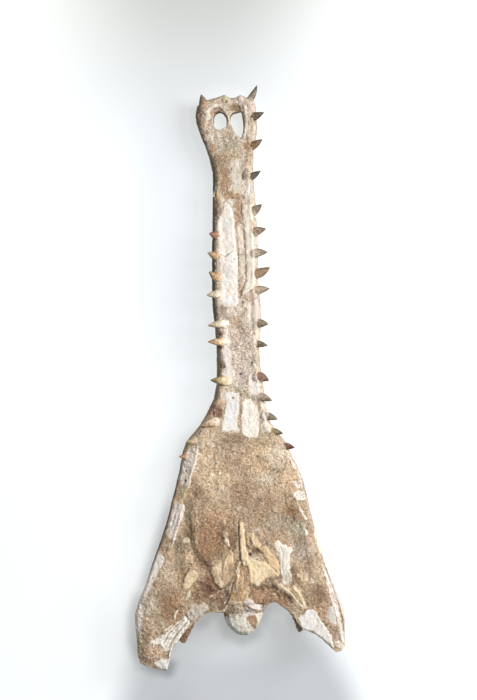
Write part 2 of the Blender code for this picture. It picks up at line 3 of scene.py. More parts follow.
import bmesh
import bpy
import numpy as np
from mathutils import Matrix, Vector


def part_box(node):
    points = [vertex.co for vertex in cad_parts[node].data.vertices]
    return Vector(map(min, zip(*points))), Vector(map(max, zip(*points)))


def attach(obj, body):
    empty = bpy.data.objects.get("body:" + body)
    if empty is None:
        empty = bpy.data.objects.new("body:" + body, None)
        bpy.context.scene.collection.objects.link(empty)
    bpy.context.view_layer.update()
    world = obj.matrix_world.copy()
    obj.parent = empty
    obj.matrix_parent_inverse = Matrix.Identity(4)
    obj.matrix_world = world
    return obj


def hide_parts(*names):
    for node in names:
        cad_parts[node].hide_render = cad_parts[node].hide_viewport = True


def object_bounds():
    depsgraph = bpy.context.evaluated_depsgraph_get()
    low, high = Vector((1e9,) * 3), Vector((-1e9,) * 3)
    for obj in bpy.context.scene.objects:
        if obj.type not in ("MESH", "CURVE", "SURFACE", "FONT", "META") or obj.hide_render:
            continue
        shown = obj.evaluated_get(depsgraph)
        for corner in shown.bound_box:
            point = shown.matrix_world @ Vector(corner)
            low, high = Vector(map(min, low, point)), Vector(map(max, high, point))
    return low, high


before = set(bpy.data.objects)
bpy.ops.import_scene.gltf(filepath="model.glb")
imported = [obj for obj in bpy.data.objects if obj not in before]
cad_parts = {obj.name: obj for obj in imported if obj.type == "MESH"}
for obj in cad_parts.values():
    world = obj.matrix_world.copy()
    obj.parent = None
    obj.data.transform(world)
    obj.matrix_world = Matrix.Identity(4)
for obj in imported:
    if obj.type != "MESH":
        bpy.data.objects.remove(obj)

bl_info = {
    "name": "Fossil crocodile skull",
    "version": (1, 0, 0),
    "blender": (4, 5, 0),
    "location": "3D View > Sidebar > Skull",
    "description": "Models a fossil long-snouted crocodile skull, lying palate up on pale paper",
    "category": "Object",
}

CAD_LOW, CAD_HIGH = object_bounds()

# ---------------------------------------------------------------- the view
# Outlines of the surface detail are given where they appear in the reference view, in its
# pixels (477 x 700, y down). view_point() finds where a point of the skull falls in that view.
IMAGE_SIZE = (477, 700)
CAMERA_HEIGHT = 2600.0  # mm above the table
CAMERA_XY = (8.0, 40.9)  # mm
CAMERA_ROLL = -0.02367  # radians
FOCAL = 1518.0  # pixels
PIXEL = 1.7  # mm on the palate
SENSOR = 36.0  # mm


def view_point(x, y, z):
    """Where points in millimetres fall in the reference view, in its pixels."""
    scale = FOCAL / (CAMERA_HEIGHT - z)
    dx, dy = (x - CAMERA_XY[0]) * scale, (y - CAMERA_XY[1]) * scale
    cos, sin = math.cos(CAMERA_ROLL), math.sin(CAMERA_ROLL)
    return IMAGE_SIZE[0] / 2 + dx * cos + dy * sin, IMAGE_SIZE[1] / 2 - dy * cos + dx * sin


def table_point(px, py, z):
    """The point in millimetres at height z that falls on a pixel of the reference view."""
    scale = FOCAL / (CAMERA_HEIGHT - z)
    dx, dy = (px - IMAGE_SIZE[0] / 2) / scale, (py - IMAGE_SIZE[1] / 2) / scale
    cos, sin = math.cos(CAMERA_ROLL), math.sin(CAMERA_ROLL)
    return CAMERA_XY[0] + dx * cos + dy * sin, CAMERA_XY[1] + dx * sin - dy * cos


# ---------------------------------------------------------------- sizes
PLAN_TO_FRAME_Y = -3.6  # mm, from the plan's own zero to the frame's
SNOUT_END = 477.0  # mm in plan
PALATE_END = -94.0  # mm in plan, where the jaw widens into the cranium
# Height of the palate above the table along the skull: y in plan and height, in mm.
PALATE = [(-500, 90), (-350, 92), (-200, 83), (-100, 72), (0, 62), (200, 51), (400, 43), (480, 40)]
# The forward walls of the two openings in the snout tip: x and y of the plan that enclose their
# low points, and how far those lie ahead of the opening's edge, all in mm.
OPENING_WALLS = ((-26.0, 27.0), (433.0, 450.0), 4.5)
# Left and right border of the jaw at each station: teeth are what stands outside it.
JAW = [
    (-158, -97, 104), (-150, -94.5, 101), (-126, -90, 89), (-108, -83, 81), (-94, -71, 69),
    (-80, -59, 59), (-58, -46, 53), (-36, -35, 50), (-12, -30, 48), (15, -29, 44), (52, -29, 43),
    (88, -31, 47), (120, -34, 47), (160, -34, 44), (205, -33, 45), (250, -31, 44), (290, -30, 43),
    (318, -29, 41), (345, -28, 40), (366, -31, 40), (378, -36, 41), (391, -40, 44), (403, -45, 46),
    (417, -50, 48), (431, -54, 48), (444, -55, 47), (458, -53, 46), (466, -45, 43),
]
# How the CAD bones become one skin, in mm. Beyond a border by the first value, a point belongs to
# a CAD tooth and is drawn back inside the border by the second.
JAW_SIDE = (0.8, 5.0)
JAW_TOP = (0.4, 2.0)
JAW_FRONT = (0.5, 17.0)
RAISED_SUNK = 0.5  # raised bones are cut this far below the palate, and PATCHES raises them
CONDYLE_WIDER, CONDYLE_SHIFT = 0.05, -1.0  # share of its width, and mm along X
SKIN_THICKER = 0.4  # closes the gap between neighbours
CAD_MARGIN = 0.05  # that everything visible keeps inside the CAD model's box
SPECK_POINTS = 500  # a loose shell of fewer points than this isn't part of the skin
FRONT_REACH = 0.07  # metres behind the seam that a bone of the snout may start
# Spacing of the skin's points in mm, and passes that smooth it.
ROOF_SKIN = (2.0, 3)
ROD_SKIN = (0.9, 2)
TOOTHED = ("premaxilla", "maxilla_left", "maxilla_right")
RAISED = (
    "choanal_septum", "pterygoid_left", "pterygoid_right", "basisphenoid",
    "ectopterygoid_right", "pterygoid_flange_right", "bone_chip_left",
)
ROOF = ("skull_roof",)


def linear(hex_colour):
    """An sRGB hex colour as linear red, green and blue."""
    out = []
    for index in (0, 2, 4):
        part = int(hex_colour[index:index + 2], 16) / 255
        out.append(part / 12.92 if part <= 0.04045 else ((part + 0.055) / 1.055) ** 2.4)
    return tuple(out)


# ---------------------------------------------------------------- surface detail
# Pale bones and plaster: colour, height above the matrix, width of the slope round it,
# raggedness of the outline, roughness of the face (all mm), outline in pixels.
PATCHES = {
    "plate front left": ("ece2d3", 0.7, 4.0, 0.5, 0.24, [(226, 201.5), (224, 203), (223, 208),
        (221, 214), (217, 221), (215.5, 227), (217.5, 234), (219, 245), (219.5, 262), (220, 285),
        (220, 304), (227, 307), (233, 308), (238, 304), (238.5, 300), (238, 281), (238, 260),
        (237, 250), (236, 240), (235, 230), (234.5, 220), (233.5, 213), (232, 208), (229, 204)]),
    "plate front right": ("ebdfcb", 0.5, 3.0, 0.5, 0.24, [(243, 205), (244.5, 220), (245.5, 235),
        (246.5, 250), (247, 265), (247, 280), (245, 287), (242, 294), (241, 298), (246, 294),
        (251, 290), (255, 284), (255, 262), (254, 240), (253, 215), (250, 203)]),
    "strip": ("dac9b3", 0.3, 2.0, 0.6, 0.6, [(236.5, 226), (237.5, 240), (239, 265), (239.5, 281),
        (241, 289), (243.5, 280), (244.5, 265), (243.5, 245), (242.5, 230), (241.5, 224)]),
    "strip left long": ("e4d8cc", 0.5, 2.0, 2.2, 0.4, [(223, 322), (229, 324), (231, 345), (231, 362),
        (228, 378), (224, 376), (224, 350)]),
    "patch mid left": ("e3dbd1", 0.6, 1.5, 1.2, 0.3, [(226, 366), (230, 364), (233, 368), (234, 376),
        (232, 384), (227, 385), (225.5, 376)]),
    "strip mid right": ("eadfce", 0.4, 1.5, 1.0, 0.3, [(247, 302), (250, 302), (251, 312), (250.5, 322),
        (247.5, 321)]),
    "edge mid right": ("cdbfb2", 0.4, 2.0, 2.0, 0.3, [(252, 300), (257, 299), (261, 308), (260, 319),
        (255, 321), (252, 312)]),
    "edge low right": ("ede3d6", 0.5, 2.0, 1.5, 0.3, [(249, 375), (252, 372), (253, 384), (257, 388),
        (257, 396), (250, 395), (248.5, 386)]),
    "plate rear left": ("e7e1d6", 0.7, 1.3, 0.5, 0.26, [(224, 392), (239, 392), (239.5, 402),
        (239.5, 411), (237.5, 417), (237.8, 424), (239, 430), (238, 434.5), (232, 430), (226, 432),
        (221, 431), (223, 420), (224, 412), (226, 405)]),
    "plate rear right": ("ede5d6", 0.7, 1.3, 0.5, 0.26, [(242, 402), (246, 398.5), (250, 399),
        (253, 402), (257, 408), (259, 415), (259, 425), (258, 437), (250, 438), (245, 436),
        (241.5, 433), (241.5, 418)]),
    "cell bone": ("d5c7b2", 0.5, 2.0, 3.0, 1.0, [(258, 419), (266, 416), (272, 424), (271, 432),
        (262, 433)]),
    "tip ridge": ("dccfb9", 1.6, 2.0, 1.2, 0.8, [(221.5, 105), (217, 103.5), (213, 104.5), (208, 108),
        (204.5, 113), (203, 118), (206, 121), (210, 120), (210, 113), (213, 109), (217, 107.5)]),
    "tip rim right": ("cfc7b8", 1.0, 1.5, 0.6, 0.4, [(242.6, 102.5), (246.4, 106), (247.6, 115),
        (248.3, 127), (245, 137), (243, 141), (243.5, 130), (244.6, 122), (243.4, 112)]),
    "tip side": ("c5b5a8", 0.4, 3.0, 2.6, 0.5, [(248, 103), (255, 106), (254.5, 113), (252, 112),
        (248.5, 112)]),
    "tip side low": ("c0b09b", 0.4, 3.0, 3.2, 0.9, [(249, 121), (255, 123), (255, 138), (250, 143),
        (247, 139), (249, 130)]),
    "tip left bone": ("beb39f", 0.4, 2.0, 3.2, 0.9, [(207, 132), (214, 131), (221, 134), (219, 142),
        (212, 146), (207, 140)]),
    "band pale": ("cdc3b2", 0.3, 4.0, 2.8, 0.5, [(232, 160), (239.5, 159.5), (241, 170), (240.5, 182),
        (240, 192), (233, 193), (231, 178)]),
    "side pink": ("c3b5a8", 0.4, 3.0, 2.4, 0.8, [(246, 181), (252, 180), (255, 190), (255.5, 200),
        (249, 204), (245, 196)]),
    "jugal streak": ("e6dfd2", 1.3, 1.5, 0.7, 0.5, [(196.5, 444), (199, 446), (198, 455), (195.5, 465),
        (191.5, 478), (189.5, 489), (187.5, 489), (189, 476), (192.5, 465), (195, 455)]),
    "jugal porous": ("d4c8b8", 0.5, 2.0, 1.5, 0.9, [(188, 449), (197, 448.5), (196, 455), (193.5, 465),
        (191, 475), (188.5, 486), (182, 484.5), (180.3, 479), (182, 468), (184.5, 456)]),
    "jugal second": ("e6dfd2", 1.4, 1.5, 0.7, 0.5, [(183, 503), (185.5, 505.5), (184, 514),
        (180.5, 524), (176.5, 536), (172.5, 547), (170.5, 546), (174, 534), (178, 522), (181, 511)]),
    "jugal second porous": ("d9cdbe", 0.5, 2.0, 1.3, 0.6, [(174, 503), (177, 501), (185, 506.5),
        (183, 514), (180, 524), (175, 536), (170.5, 540), (166.5, 535), (168, 525), (171, 513)]),
    "jugal third": ("ebe2d4", 0.9, 1.5, 1.4, 0.5, [(158, 552.5), (164.5, 557), (161.5, 566),
        (157.5, 574), (152, 586), (145, 598), (140.5, 597), (145, 583), (150.5, 570), (155, 560)]),
    "chip": ("e2cba2", 0.9, 2.0, 0.7, 0.4, [(192, 569.8), (194.8, 571), (198, 574), (196, 579.5),
        (192.5, 585), (189, 588), (184, 590.5), (182.3, 588), (183.2, 583), (183.5, 578), (187, 573)]),
    "chip tail": ("e0cfb0", 0.8, 1.6, 1.2, 0.8, [(190, 589), (191.8, 591.5), (189.4, 597), (186.4, 601),
        (184.6, 600), (187, 594.5)]),
    "crescent": ("e2d5be", 1.2, 1.6, 0.8, 0.6, [(178.5, 608), (176, 611), (173.8, 615), (173.5, 620),
        (175.5, 620), (176.8, 614), (179.5, 610)]),
    "block": ("c9bcab", 1.6, 2.8, 1.2, 0.7, [(185, 613), (190, 609.5), (196, 605.5), (204, 602),
        (208, 608), (205, 613), (198, 618), (193, 622), (188, 619)]),
    "quadrate streaks": ("fff6e4", 1.4, 2.6, 2.6, 0.7, [(181, 620), (185.5, 616.5), (188.5, 619),
        (188, 625), (184, 632), (179, 639), (174, 647), (169, 660), (167, 652), (160, 645), (151, 644),
        (151.5, 640), (160, 637), (165, 631), (172, 626)]),
    "quadrate end": ("ebe5da", 0.8, 1.5, 0.8, 0.5, [(153, 663), (158, 660), (164, 658.5),
        (169.5, 659.5), (170, 666), (168, 671), (160, 668.5), (155, 665.5)]),
    "septum": ("f0d6aa", 0.0, 1.0, 0.6, 0.5, [(238.9, 522.5), (240.8, 520.5), (243.4, 522),
        (244.5, 535), (245.6, 546), (248.5, 556), (249, 563), (246.5, 566.5), (243, 566), (240.8, 560),
        (239.6, 545)]),
    "splinter left": ("d2bb95", 0.8, 2.2, 2.2, 1.0, [(226.6, 523), (228.3, 525), (227, 534),
        (226.5, 540), (229.5, 544), (228.5, 547), (225, 543), (223.2, 538), (224.5, 531)]),
    "wing left": ("c2a480", 1.2, 3.0, 0.8, 0.3, [(210.5, 569), (217, 564), (222.5, 560.5), (226.5, 556),
        (230.5, 549.5), (234.3, 553), (233.5, 562), (232, 570), (230.5, 577), (226, 585.5),
        (220.5, 587.5), (215, 581), (213, 576)]),
    "ray left": ("dcbd92", 0.8, 3.4, 1.0, 0.3, [(230.5, 549.5), (234.3, 553), (233.5, 560), (231, 569),
        (228, 573.5), (225, 570), (225.5, 562), (228, 555)]),
    "pterygoid left": ("dcc49c", 0.6, 2.4, 0.8, 0.25, [(211, 569.5), (217, 565), (221.5, 563),
        (221, 571), (218.5, 577), (222, 581), (224, 585), (220.5, 587), (215.5, 580.5), (213.5, 576)]),
    "slit bone right": ("c09a68", 0.6, 2.0, 1.2, 0.9, [(246.5, 532), (249, 531.5), (250, 537),
        (249.5, 543), (247.5, 544)]),
    "ray right one": ("e0c297", 1.0, 2.0, 0.5, 0.5, [(249.6, 532.6), (253.6, 533.4), (256.6, 538),
        (259.3, 541), (261.6, 545.3), (261, 549), (257.5, 548.6), (253.6, 544.6), (250.8, 540)]),
    "pterygoid right": ("e8cfa4", 1.4, 3.6, 1.4, 0.35, [(246, 559), (251, 558), (258, 561), (266, 563),
        (275, 565), (280.5, 571), (278, 576), (268, 577), (262.5, 581), (257, 587.5), (254.5, 584.5),
        (249.7, 583.5), (248.5, 575)]),
    "ray right two": ("dcbb8e", 1.2, 2.4, 1.0, 0.4, [(260.5, 548), (265, 545.5), (270, 551), (276, 559),
        (281, 568), (278.5, 573), (271, 566), (265, 557)]),
    "basisphenoid": ("b9966c", 1.0, 5.0, 1.6, 0.9, [(236, 567), (241, 563.5), (248, 566), (250, 575),
        (250, 586), (249.5, 595), (246.5, 601), (234, 603), (230.5, 600), (233.2, 586), (234.6, 575)]),
    "tuber": ("e6d9cb", 1.3, 2.4, 0.6, 0.35, [(244.5, 599.5), (248, 597.5), (252, 600), (256, 603.5),
        (262, 604.5), (265.5, 605.5), (264.5, 609.5), (258.5, 611.5), (252.5, 610), (248, 606.5),
        (244, 603.5)]),
    "condyle": ("e4ddca", 0.8, 3.5, 3.0, 0.5, [(226, 616.5), (231, 614.5), (236, 616), (240, 613.5),
        (246, 612), (252, 613), (260, 613), (263, 611), (265, 618), (262, 628), (256, 636), (248, 641),
        (238, 641), (229, 636), (223, 628), (220, 617)]),
    # Painted light: the condyle's shaded left rim is given a near-white tone against the shade that falls
    # on it.
    "condyle shade": ("eceeea", 0.0, 3.0, 2.0, 0.5, [(219, 614.5), (227, 616), (230, 620), (230, 626),
        (235, 634), (232, 640), (224, 634), (219, 622)]),
    "condyle blue": ("dadccf", 0.2, 3.0, 2.0, 0.3, [(231, 617), (236, 618), (238, 627), (242, 634),
        (238, 638), (232, 630)]),
    "condyle scar patch": ("9a785b", -0.5, 1.8, 1.6, 0.4, [(246.5, 618), (250, 615.3), (254.6, 615.6),
        (257.6, 619), (257.8, 624), (255, 628), (251.5, 627), (248.5, 623), (246.3, 620.5)]),
    "plaster": ("ebe3d2", 0.9, 1.5, 0.9, 0.4, [(274, 543), (279, 541), (281.5, 543), (286, 545),
        (288, 547.4), (290.5, 546.6), (293, 550), (291, 554), (290.5, 563), (290, 569.4), (292.5, 580),
        (290.5, 582), (286.4, 585), (282.3, 584), (281, 577.5), (280, 566), (280, 559), (276.2, 553)]),
    "flange ridge": ("c8aa84", 0.8, 3.0, 1.6, 0.6, [(279.5, 586), (283, 588.5), (288, 588),
        (294, 586.5), (298, 591.8), (303, 596.5), (306, 606), (303, 610), (296.6, 601), (288.5, 594)]),
    "light chips": ("dcc49c", 0.8, 1.4, 1.8, 0.8, [(298, 574), (308, 575.5), (307, 582), (300, 581)]),
    "quadrate right": ("ece5da", 1.2, 2.2, 1.2, 0.25, [(304.5, 611.5), (309, 609), (313.5, 609),
        (317.5, 612.5), (320, 619), (325, 626.5), (331, 633.5), (333.6, 643), (333.5, 648.5),
        (326, 642), (320, 637), (314, 632), (308, 629.8), (302.5, 629.5), (299, 622), (296.5, 618),
        (302.8, 615)]),
    "edge upper strip": ("e2d7c8", 0.6, 1.0, 1.8, 1.2, [(282.5, 447), (285, 446), (291, 457),
        (297, 469), (302.5, 480), (304, 492), (301, 490), (298.4, 478), (291.5, 464), (286.2, 454)]),
    "edge patch one": ("e6ddd0", 0.7, 1.2, 1.6, 1.2, [(293.5, 481), (298, 479.5), (302, 482),
        (301, 488), (295, 488)]),
    "edge patch two": ("e6ddd0", 0.7, 1.2, 1.6, 1.2, [(292.5, 492.5), (299, 490), (305, 492),
        (305, 499), (296, 499.5)]),
    "edge line": ("e6dccd", 0.8, 1.0, 0.4, 0.8, [(296.3, 503.5), (298.3, 503.5), (303, 511),
        (307.6, 519), (305.7, 520.4), (300, 511.5)]),
    "edge spot one": ("eadfcd", 0.5, 1.0, 0.6, 0.3, [(305, 530), (308, 530), (308, 535), (305.5, 535)]),
    "edge spot two": ("eadfcd", 0.5, 1.0, 1.0, 0.3, [(313.5, 529), (315.5, 530), (319.5, 542),
        (322, 556), (320.3, 556), (317.2, 543)]),
    "edge strip long": ("e8e0d5", 1.0, 1.2, 0.5, 0.9, [(321.5, 566), (325.5, 569), (332, 587),
        (338, 607), (342, 628), (345, 642), (341.5, 644), (338.5, 628), (334, 610), (328.5, 590)]),
    "edge strip outer": ("d3c8be", 0.8, 1.0, 0.6, 0.4, [(327, 566), (334, 586), (340.5, 600),
        (345.8, 616), (344, 622), (340, 610), (334.5, 597), (329, 580)]),
    "edge grey": ("d2c9bd", 0.4, 2.0, 2.0, 0.5, [(326, 609), (332, 606), (336, 612), (338, 624),
        (331, 623), (327, 617)]),
    "end band bone": ("dccfbd", 0.4, 2.0, 3.6, 0.8, [(336, 640), (343, 641), (344, 649), (338, 650),
        (335, 645)]),
}
# Dark seams, slits and cracks, and strokes of painted shadow and shade beside raised bones and edges,
# named so: width in pixels, depth in mm, strength, path.
CRACKS = {
    "plate left edge": (0.9, 0.5, 0.5, [(224, 202), (223, 208), (221, 214), (217, 221), (214.5, 227)]),
    "plate right edge": (0.95, 0.6, 0.85, [(241, 203), (241.5, 212), (242.7, 220), (243.8, 230),
        (245, 245), (246, 265), (246, 280), (244.3, 285), (242, 292), (240, 298)]),
    "plate inner edge": (0.6, 0.4, 0.45, [(232.5, 208), (234.2, 213), (235.2, 220), (235.8, 230),
        (236.6, 240), (237.6, 250), (238.6, 260), (238.7, 281), (239.3, 297)]),
    "cross crack left": (0.8, 0.8, 0.75, [(220.5, 254.5), (222.5, 255.5), (225, 257), (227, 255.5),
        (229, 253.6), (232, 252)]),
    "cross crack right": (0.7, 0.7, 0.7, [(236, 255.2), (239, 255), (241, 254.6), (245, 255)]),
    "plate foot": (0.7, 1.0, 0.2, [(220, 305.5), (227, 308), (233, 309), (238.5, 305)]),
    "septum slit shadow": (1.0, 1.0, 0.85, [(238.4, 521), (238.4, 530), (239, 543), (239.4, 553),
        (240.4, 561)]),
    "basal slit shadow": (1.3, 1.4, 0.95, [(233, 583), (231.6, 591), (228.6, 599), (225.5, 605.5)]),
    "basal shade": (2.4, 1.4, 0.4, [(239, 557), (236, 564), (234, 571), (233, 583)]),
    "right slit": (0.8, 0.8, 0.5, [(245.6, 532), (246, 540), (247, 548)]),
    "wing fold": (1.2, 0.8, 0.4, [(222.5, 561), (222, 567), (222.5, 573), (221.5, 580)]),
    "ray gap": (0.7, 1.6, 0.4, [(248.8, 532), (249.2, 538), (250, 544)]),
    "cavity edge": (1.4, 1.8, 0.4, [(249.5, 556), (253, 552), (258, 551), (262, 554)]),
    "cavity curve": (0.7, 1.0, 0.35, [(250, 560), (254, 562), (259, 561)]),
    "ray foot": (0.9, 1.0, 0.3, [(263, 556), (267, 563), (273, 568), (278, 574)]),
    "ray step": (1.2, 1.2, 0.55, [(257, 549), (259.6, 547.6), (262.6, 545.4)]),
    "pterygoid shadow": (4.0, 1.2, 0.4, [(250, 585.5), (254, 587), (258.5, 589.5), (264, 583),
        (268, 579.4), (276, 578.6), (281, 577)]),
    "left wing shadow": (2.0, 1.2, 0.35, [(209.5, 571), (211.5, 578), (214, 584), (219, 590),
        (226, 588.5), (230, 582)]),
    "flange groove": (1.0, 1.0, 0.3, [(275, 584), (281, 589), (287, 594.5), (295, 601.5), (302, 611)]),
    "flange middle": (1.0, 0.8, 0.35, [(290, 590), (295, 596), (300, 604)]),
    "plaster shadow": (4.0, 0.8, 0.45, [(291.5, 570), (294, 577), (299, 583), (302, 588)]),
    "condyle seam shade": (3.0, 0.4, 0.25, [(224, 615), (229, 613), (234, 613.5), (239, 614), (245, 611)]),
    "condyle top": (1.2, 0.6, 0.45, [(238, 613), (240, 617), (238, 620)]),
    "condyle scar": (1.1, 0.8, 0.6, [(248, 627.5), (252, 629), (256, 628)]),
    "tuber shadow": (1.4, 1.2, 0.4, [(246, 606), (251, 609.8), (257, 613), (263, 611.5)]),
    "tuber groove": (0.9, 0.6, 0.2, [(247.5, 604.5), (252, 605), (256, 607.5)]),
    "block crack": (0.9, 1.2, 0.7, [(190.5, 612), (193.5, 616), (192.5, 621)]),
    "block edge": (1.0, 1.2, 0.5, [(184.5, 614), (187.5, 618), (190.5, 622)]),
    "streak one": (1.0, 1.4, 0.55, [(164, 643), (168, 635), (175, 627), (183, 620)]),
    "streak two": (1.0, 1.4, 0.5, [(168.5, 648), (173, 639), (180, 630), (187, 622)]),
    "plaster crack": (0.7, 0.8, 0.4, [(281, 547), (283, 556), (282, 566), (284, 576)]),
    "edge split": (0.9, 1.4, 0.75, [(324.5, 563), (329, 577), (334, 591), (338.5, 603), (342.5, 618),
        (344.5, 633)]),
    "edge outer line": (0.6, 0.8, 0.45, [(286.5, 447), (294, 458.5), (300, 470), (305, 482),
        (306, 492)]),
    "teardrop wall": (1.6, 0.8, 0.55, [(242.4, 105), (243.6, 113), (244.4, 122), (243, 131),
        (240.5, 138)]),
    "nodule split shadow": (0.8, 0.8, 0.6, [(158, 667.5), (163, 669), (167.5, 671)]),
    "nodule streak": (0.7, 0.5, 0.45, [(160.5, 663.5), (165.5, 668)]),
    "nodule top": (1.0, 1.0, 0.5, [(157, 659.5), (163, 657.2), (168.5, 654.8)]),
    "rear lip shade left": (2.0, 0.0, 0.42, [(203, 613), (209, 610.6), (215, 609.6), (221, 610)]),
    "rear lip shade right": (2.0, 0.0, 0.35, [(266, 602), (274, 601), (280, 604.5), (286, 608.5),
        (292, 615)]),
    "rear gap": (0.9, 0.9, 0.3, [(240.4, 393), (240.6, 410), (239.5, 422), (240, 433)]),
    "cranium worm": (0.6, 0.6, 0.35, [(222, 481), (225, 485), (229, 489)]),
    "right step": (0.7, 0.8, 0.35, [(262, 494), (268, 500), (277, 501), (284, 503), (292, 507)]),
    "lobe step": (0.8, 0.8, 0.35, [(200, 566), (201, 575), (200, 585), (204, 592)]),
    "jugal grain one": (0.6, 0.6, 0.4, [(178, 504.5), (175, 515), (171.4, 528)]),
    "jugal grain two": (0.6, 0.6, 0.4, [(181.4, 507), (178, 517.5), (173.6, 531)]),
    "groove lip shade": (1.6, 0.4, 0.3, [(190, 520), (191, 530), (190.5, 540), (192, 550), (196, 558),
        (200.5, 563)]),
}
# Pits and sockets: pixel, half-width and half-height in pixels, depth in mm, strength.
PITS = [
    (242.6, 175.5, 1.7, 3.9, 1.6, 0.65), (231, 169, 0.9, 0.9, 0.8, 0.6),
    (237.5, 185, 1.0, 1.0, 0.6, 0.35), (234.5, 259.5, 0.8, 0.8, 0.8, 0.8),
    (231.5, 262, 0.6, 0.6, 0.6, 0.6), (233.2, 247, 0.6, 0.6, 0.6, 0.5),
    (247.5, 263, 0.7, 0.7, 0.8, 0.6), (238.5, 281, 0.8, 0.8, 0.8, 0.8),
    (234.5, 294, 0.7, 0.7, 0.6, 0.6), (227.5, 290.5, 0.7, 0.7, 0.6, 0.4),
    (243, 302, 1.3, 1.4, 1.2, 0.75), (240.6, 293, 1.1, 3.0, 1.4, 0.45),
    (240.5, 374.2, 1.5, 1.1, 3.0, 1.0), (232.5, 398, 0.8, 0.8, 0.9, 0.8),
    (242, 328, 0.9, 0.9, 0.6, 0.5), (245.5, 347, 0.7, 0.7, 0.6, 0.6), (251.5, 363, 1.2, 1.6, 1.2, 0.6),
    (219.8, 334, 2.6, 3.4, 2.6, 0.35), (220.3, 347.5, 2.2, 2.4, 2.0, 0.35),
    (222.5, 366, 3.2, 6.3, 1.4, 0.25), (215.8, 412.5, 6.0, 6.5, 1.8, 0.2),
    (226.2, 102, 1.7, 1.6, 2.0, 0.55), (257.5, 456.5, 1.1, 1.1, 1.0, 0.8),
    (250, 466, 0.9, 0.9, 0.8, 0.7), (281.7, 461.5, 1.0, 1.0, 0.8, 0.7), (274, 470, 1.2, 1.1, 1.0, 0.6),
    (277.5, 472, 1.2, 1.0, 1.0, 0.6), (237.3, 473.5, 0.8, 0.8, 0.6, 0.6),
    (242, 453, 0.8, 0.8, 0.6, 0.5), (284.8, 495.5, 0.9, 0.9, 0.8, 0.6), (262, 471, 0.7, 0.7, 0.6, 0.5),
    (257, 445.5, 0.8, 0.8, 0.6, 0.5), (249.8, 554.2, 1.5, 1.4, 3.4, 1.0),
    (256, 551, 5.0, 3.6, 2.0, 0.45), (186, 471, 1.1, 1.4, 1.4, 0.7), (185.5, 481, 1.2, 1.4, 1.4, 0.7),
    (261.5, 400, 1.0, 1.0, 0.8, 0.8), (190, 615, 1.0, 1.0, 0.8, 0.5), (208, 590, 4.0, 7.0, 2.0, 0.3),
    (199, 449, 1.0, 1.0, 0.6, 0.4),
]
# Broad swells and hollows of the palate: pixel, half-width, half-height, mm.
SWELLS = [
    (232, 470, 46, 34, 2.0), (211, 541, 19, 25, -4.5), (290, 528, 18, 20, -1.5),
    (219, 596, 13, 8, -6.0), (268, 592, 14, 8, -6.0), (283, 600, 12, 7, -4.0), (218, 111, 9, 4.5, -3.5),
    (235.5, 108, 7.5, 4.5, -3.5), (230, 240, 8, 60, 1.2), (238, 345, 8, 36, -1.0),
    (152, 653, 13, 10, 2.5), (242, 591, 7, 12, 2.5), (165, 600, 22, 30, 1.5), (315, 590, 16, 26, 1.5),
    (232, 605, 9, 5, 1.5), (262, 487, 20, 20, 1.0), (205, 445, 10, 9, 1.5), (270, 441, 14, 6, 1.0),
    (226, 101.5, 5, 5, 1.2), (241, 98.5, 3.5, 3.5, 1.2), (233, 536, 5, 14, -2.0),
]
# The groove beside the left jugal: half-width in pixels, depth in mm, path.
GROOVE_LEFT = (5.0, 4.0, [
    (190.5, 494), (187.5, 505), (186, 515), (187, 527), (188.5, 540), (190.5, 550), (195.5, 558),
    (201, 564), (206, 569)])
# How dark the left wall is along the skull, as painted shade: pixel row, share.
LEFT_WALL_SHADE = [
    (90, 0.05), (130, 0.2), (150, 0.5), (180, 0.7), (250, 0.95), (300, 0.85), (350, 0.5), (400, 0.3),
    (425, 0.05), (450, 0.3), (475, 0.9), (540, 0.9), (565, 0.7), (590, 0.1), (620, 0.0),
]
SEPTUM_RISE = 3.4  # mm that the choanal septum stands above the other bones
SOCKET_RISE = 1.3  # mm that the rim of a tooth socket stands above the jaw
FAR_OUTSIDE = -8.0  # mm, how deep inside a bone a point lies that is on no bone
CRUST = 0.25  # share of the ground that a pale crust covers where TONES say nothing
# Steps of blurring that tell fine hollows and broad basins from the surface round them, for painted shade
# and highlight.
FINE_BLUR, BROAD_BLUR = 4, 22
# Strengths: painted shade on the left wall, painted light on its upper edge and on the right wall, and
# the dark flecks and light grains at the rear.
WALL_SHADE = 0.85
WALL_EDGE_LIGHT = 0.3
WALL_RIGHT_LIGHT = 0.3
FLECK_SHADE = 0.62
FLECK_LIGHT = 0.42
# Ovals of the reference view, as pixel, half-width and half-height.
TIP_HOLES = (230, 122, 17, 20)
CONDYLE = (243, 622, 23, 21)
REAR = (238, 590, 48, 26)
# The rear left lobe is turned to the light, so painted shade and most of the wall tone are left off it:
# rows over which that sets in, and its last column.
LIT_ROWS = (560.0, 592.0)
LIT_COLUMN = 215
# The right wall gets a pale tone as painted light from these rows of the reference view on.
RIGHT_LIGHT_ROWS = (190.0, 230.0)
RIGHT_LIGHT_TONE = "d2c4b0"
GROUND_TONE = "b9a283"
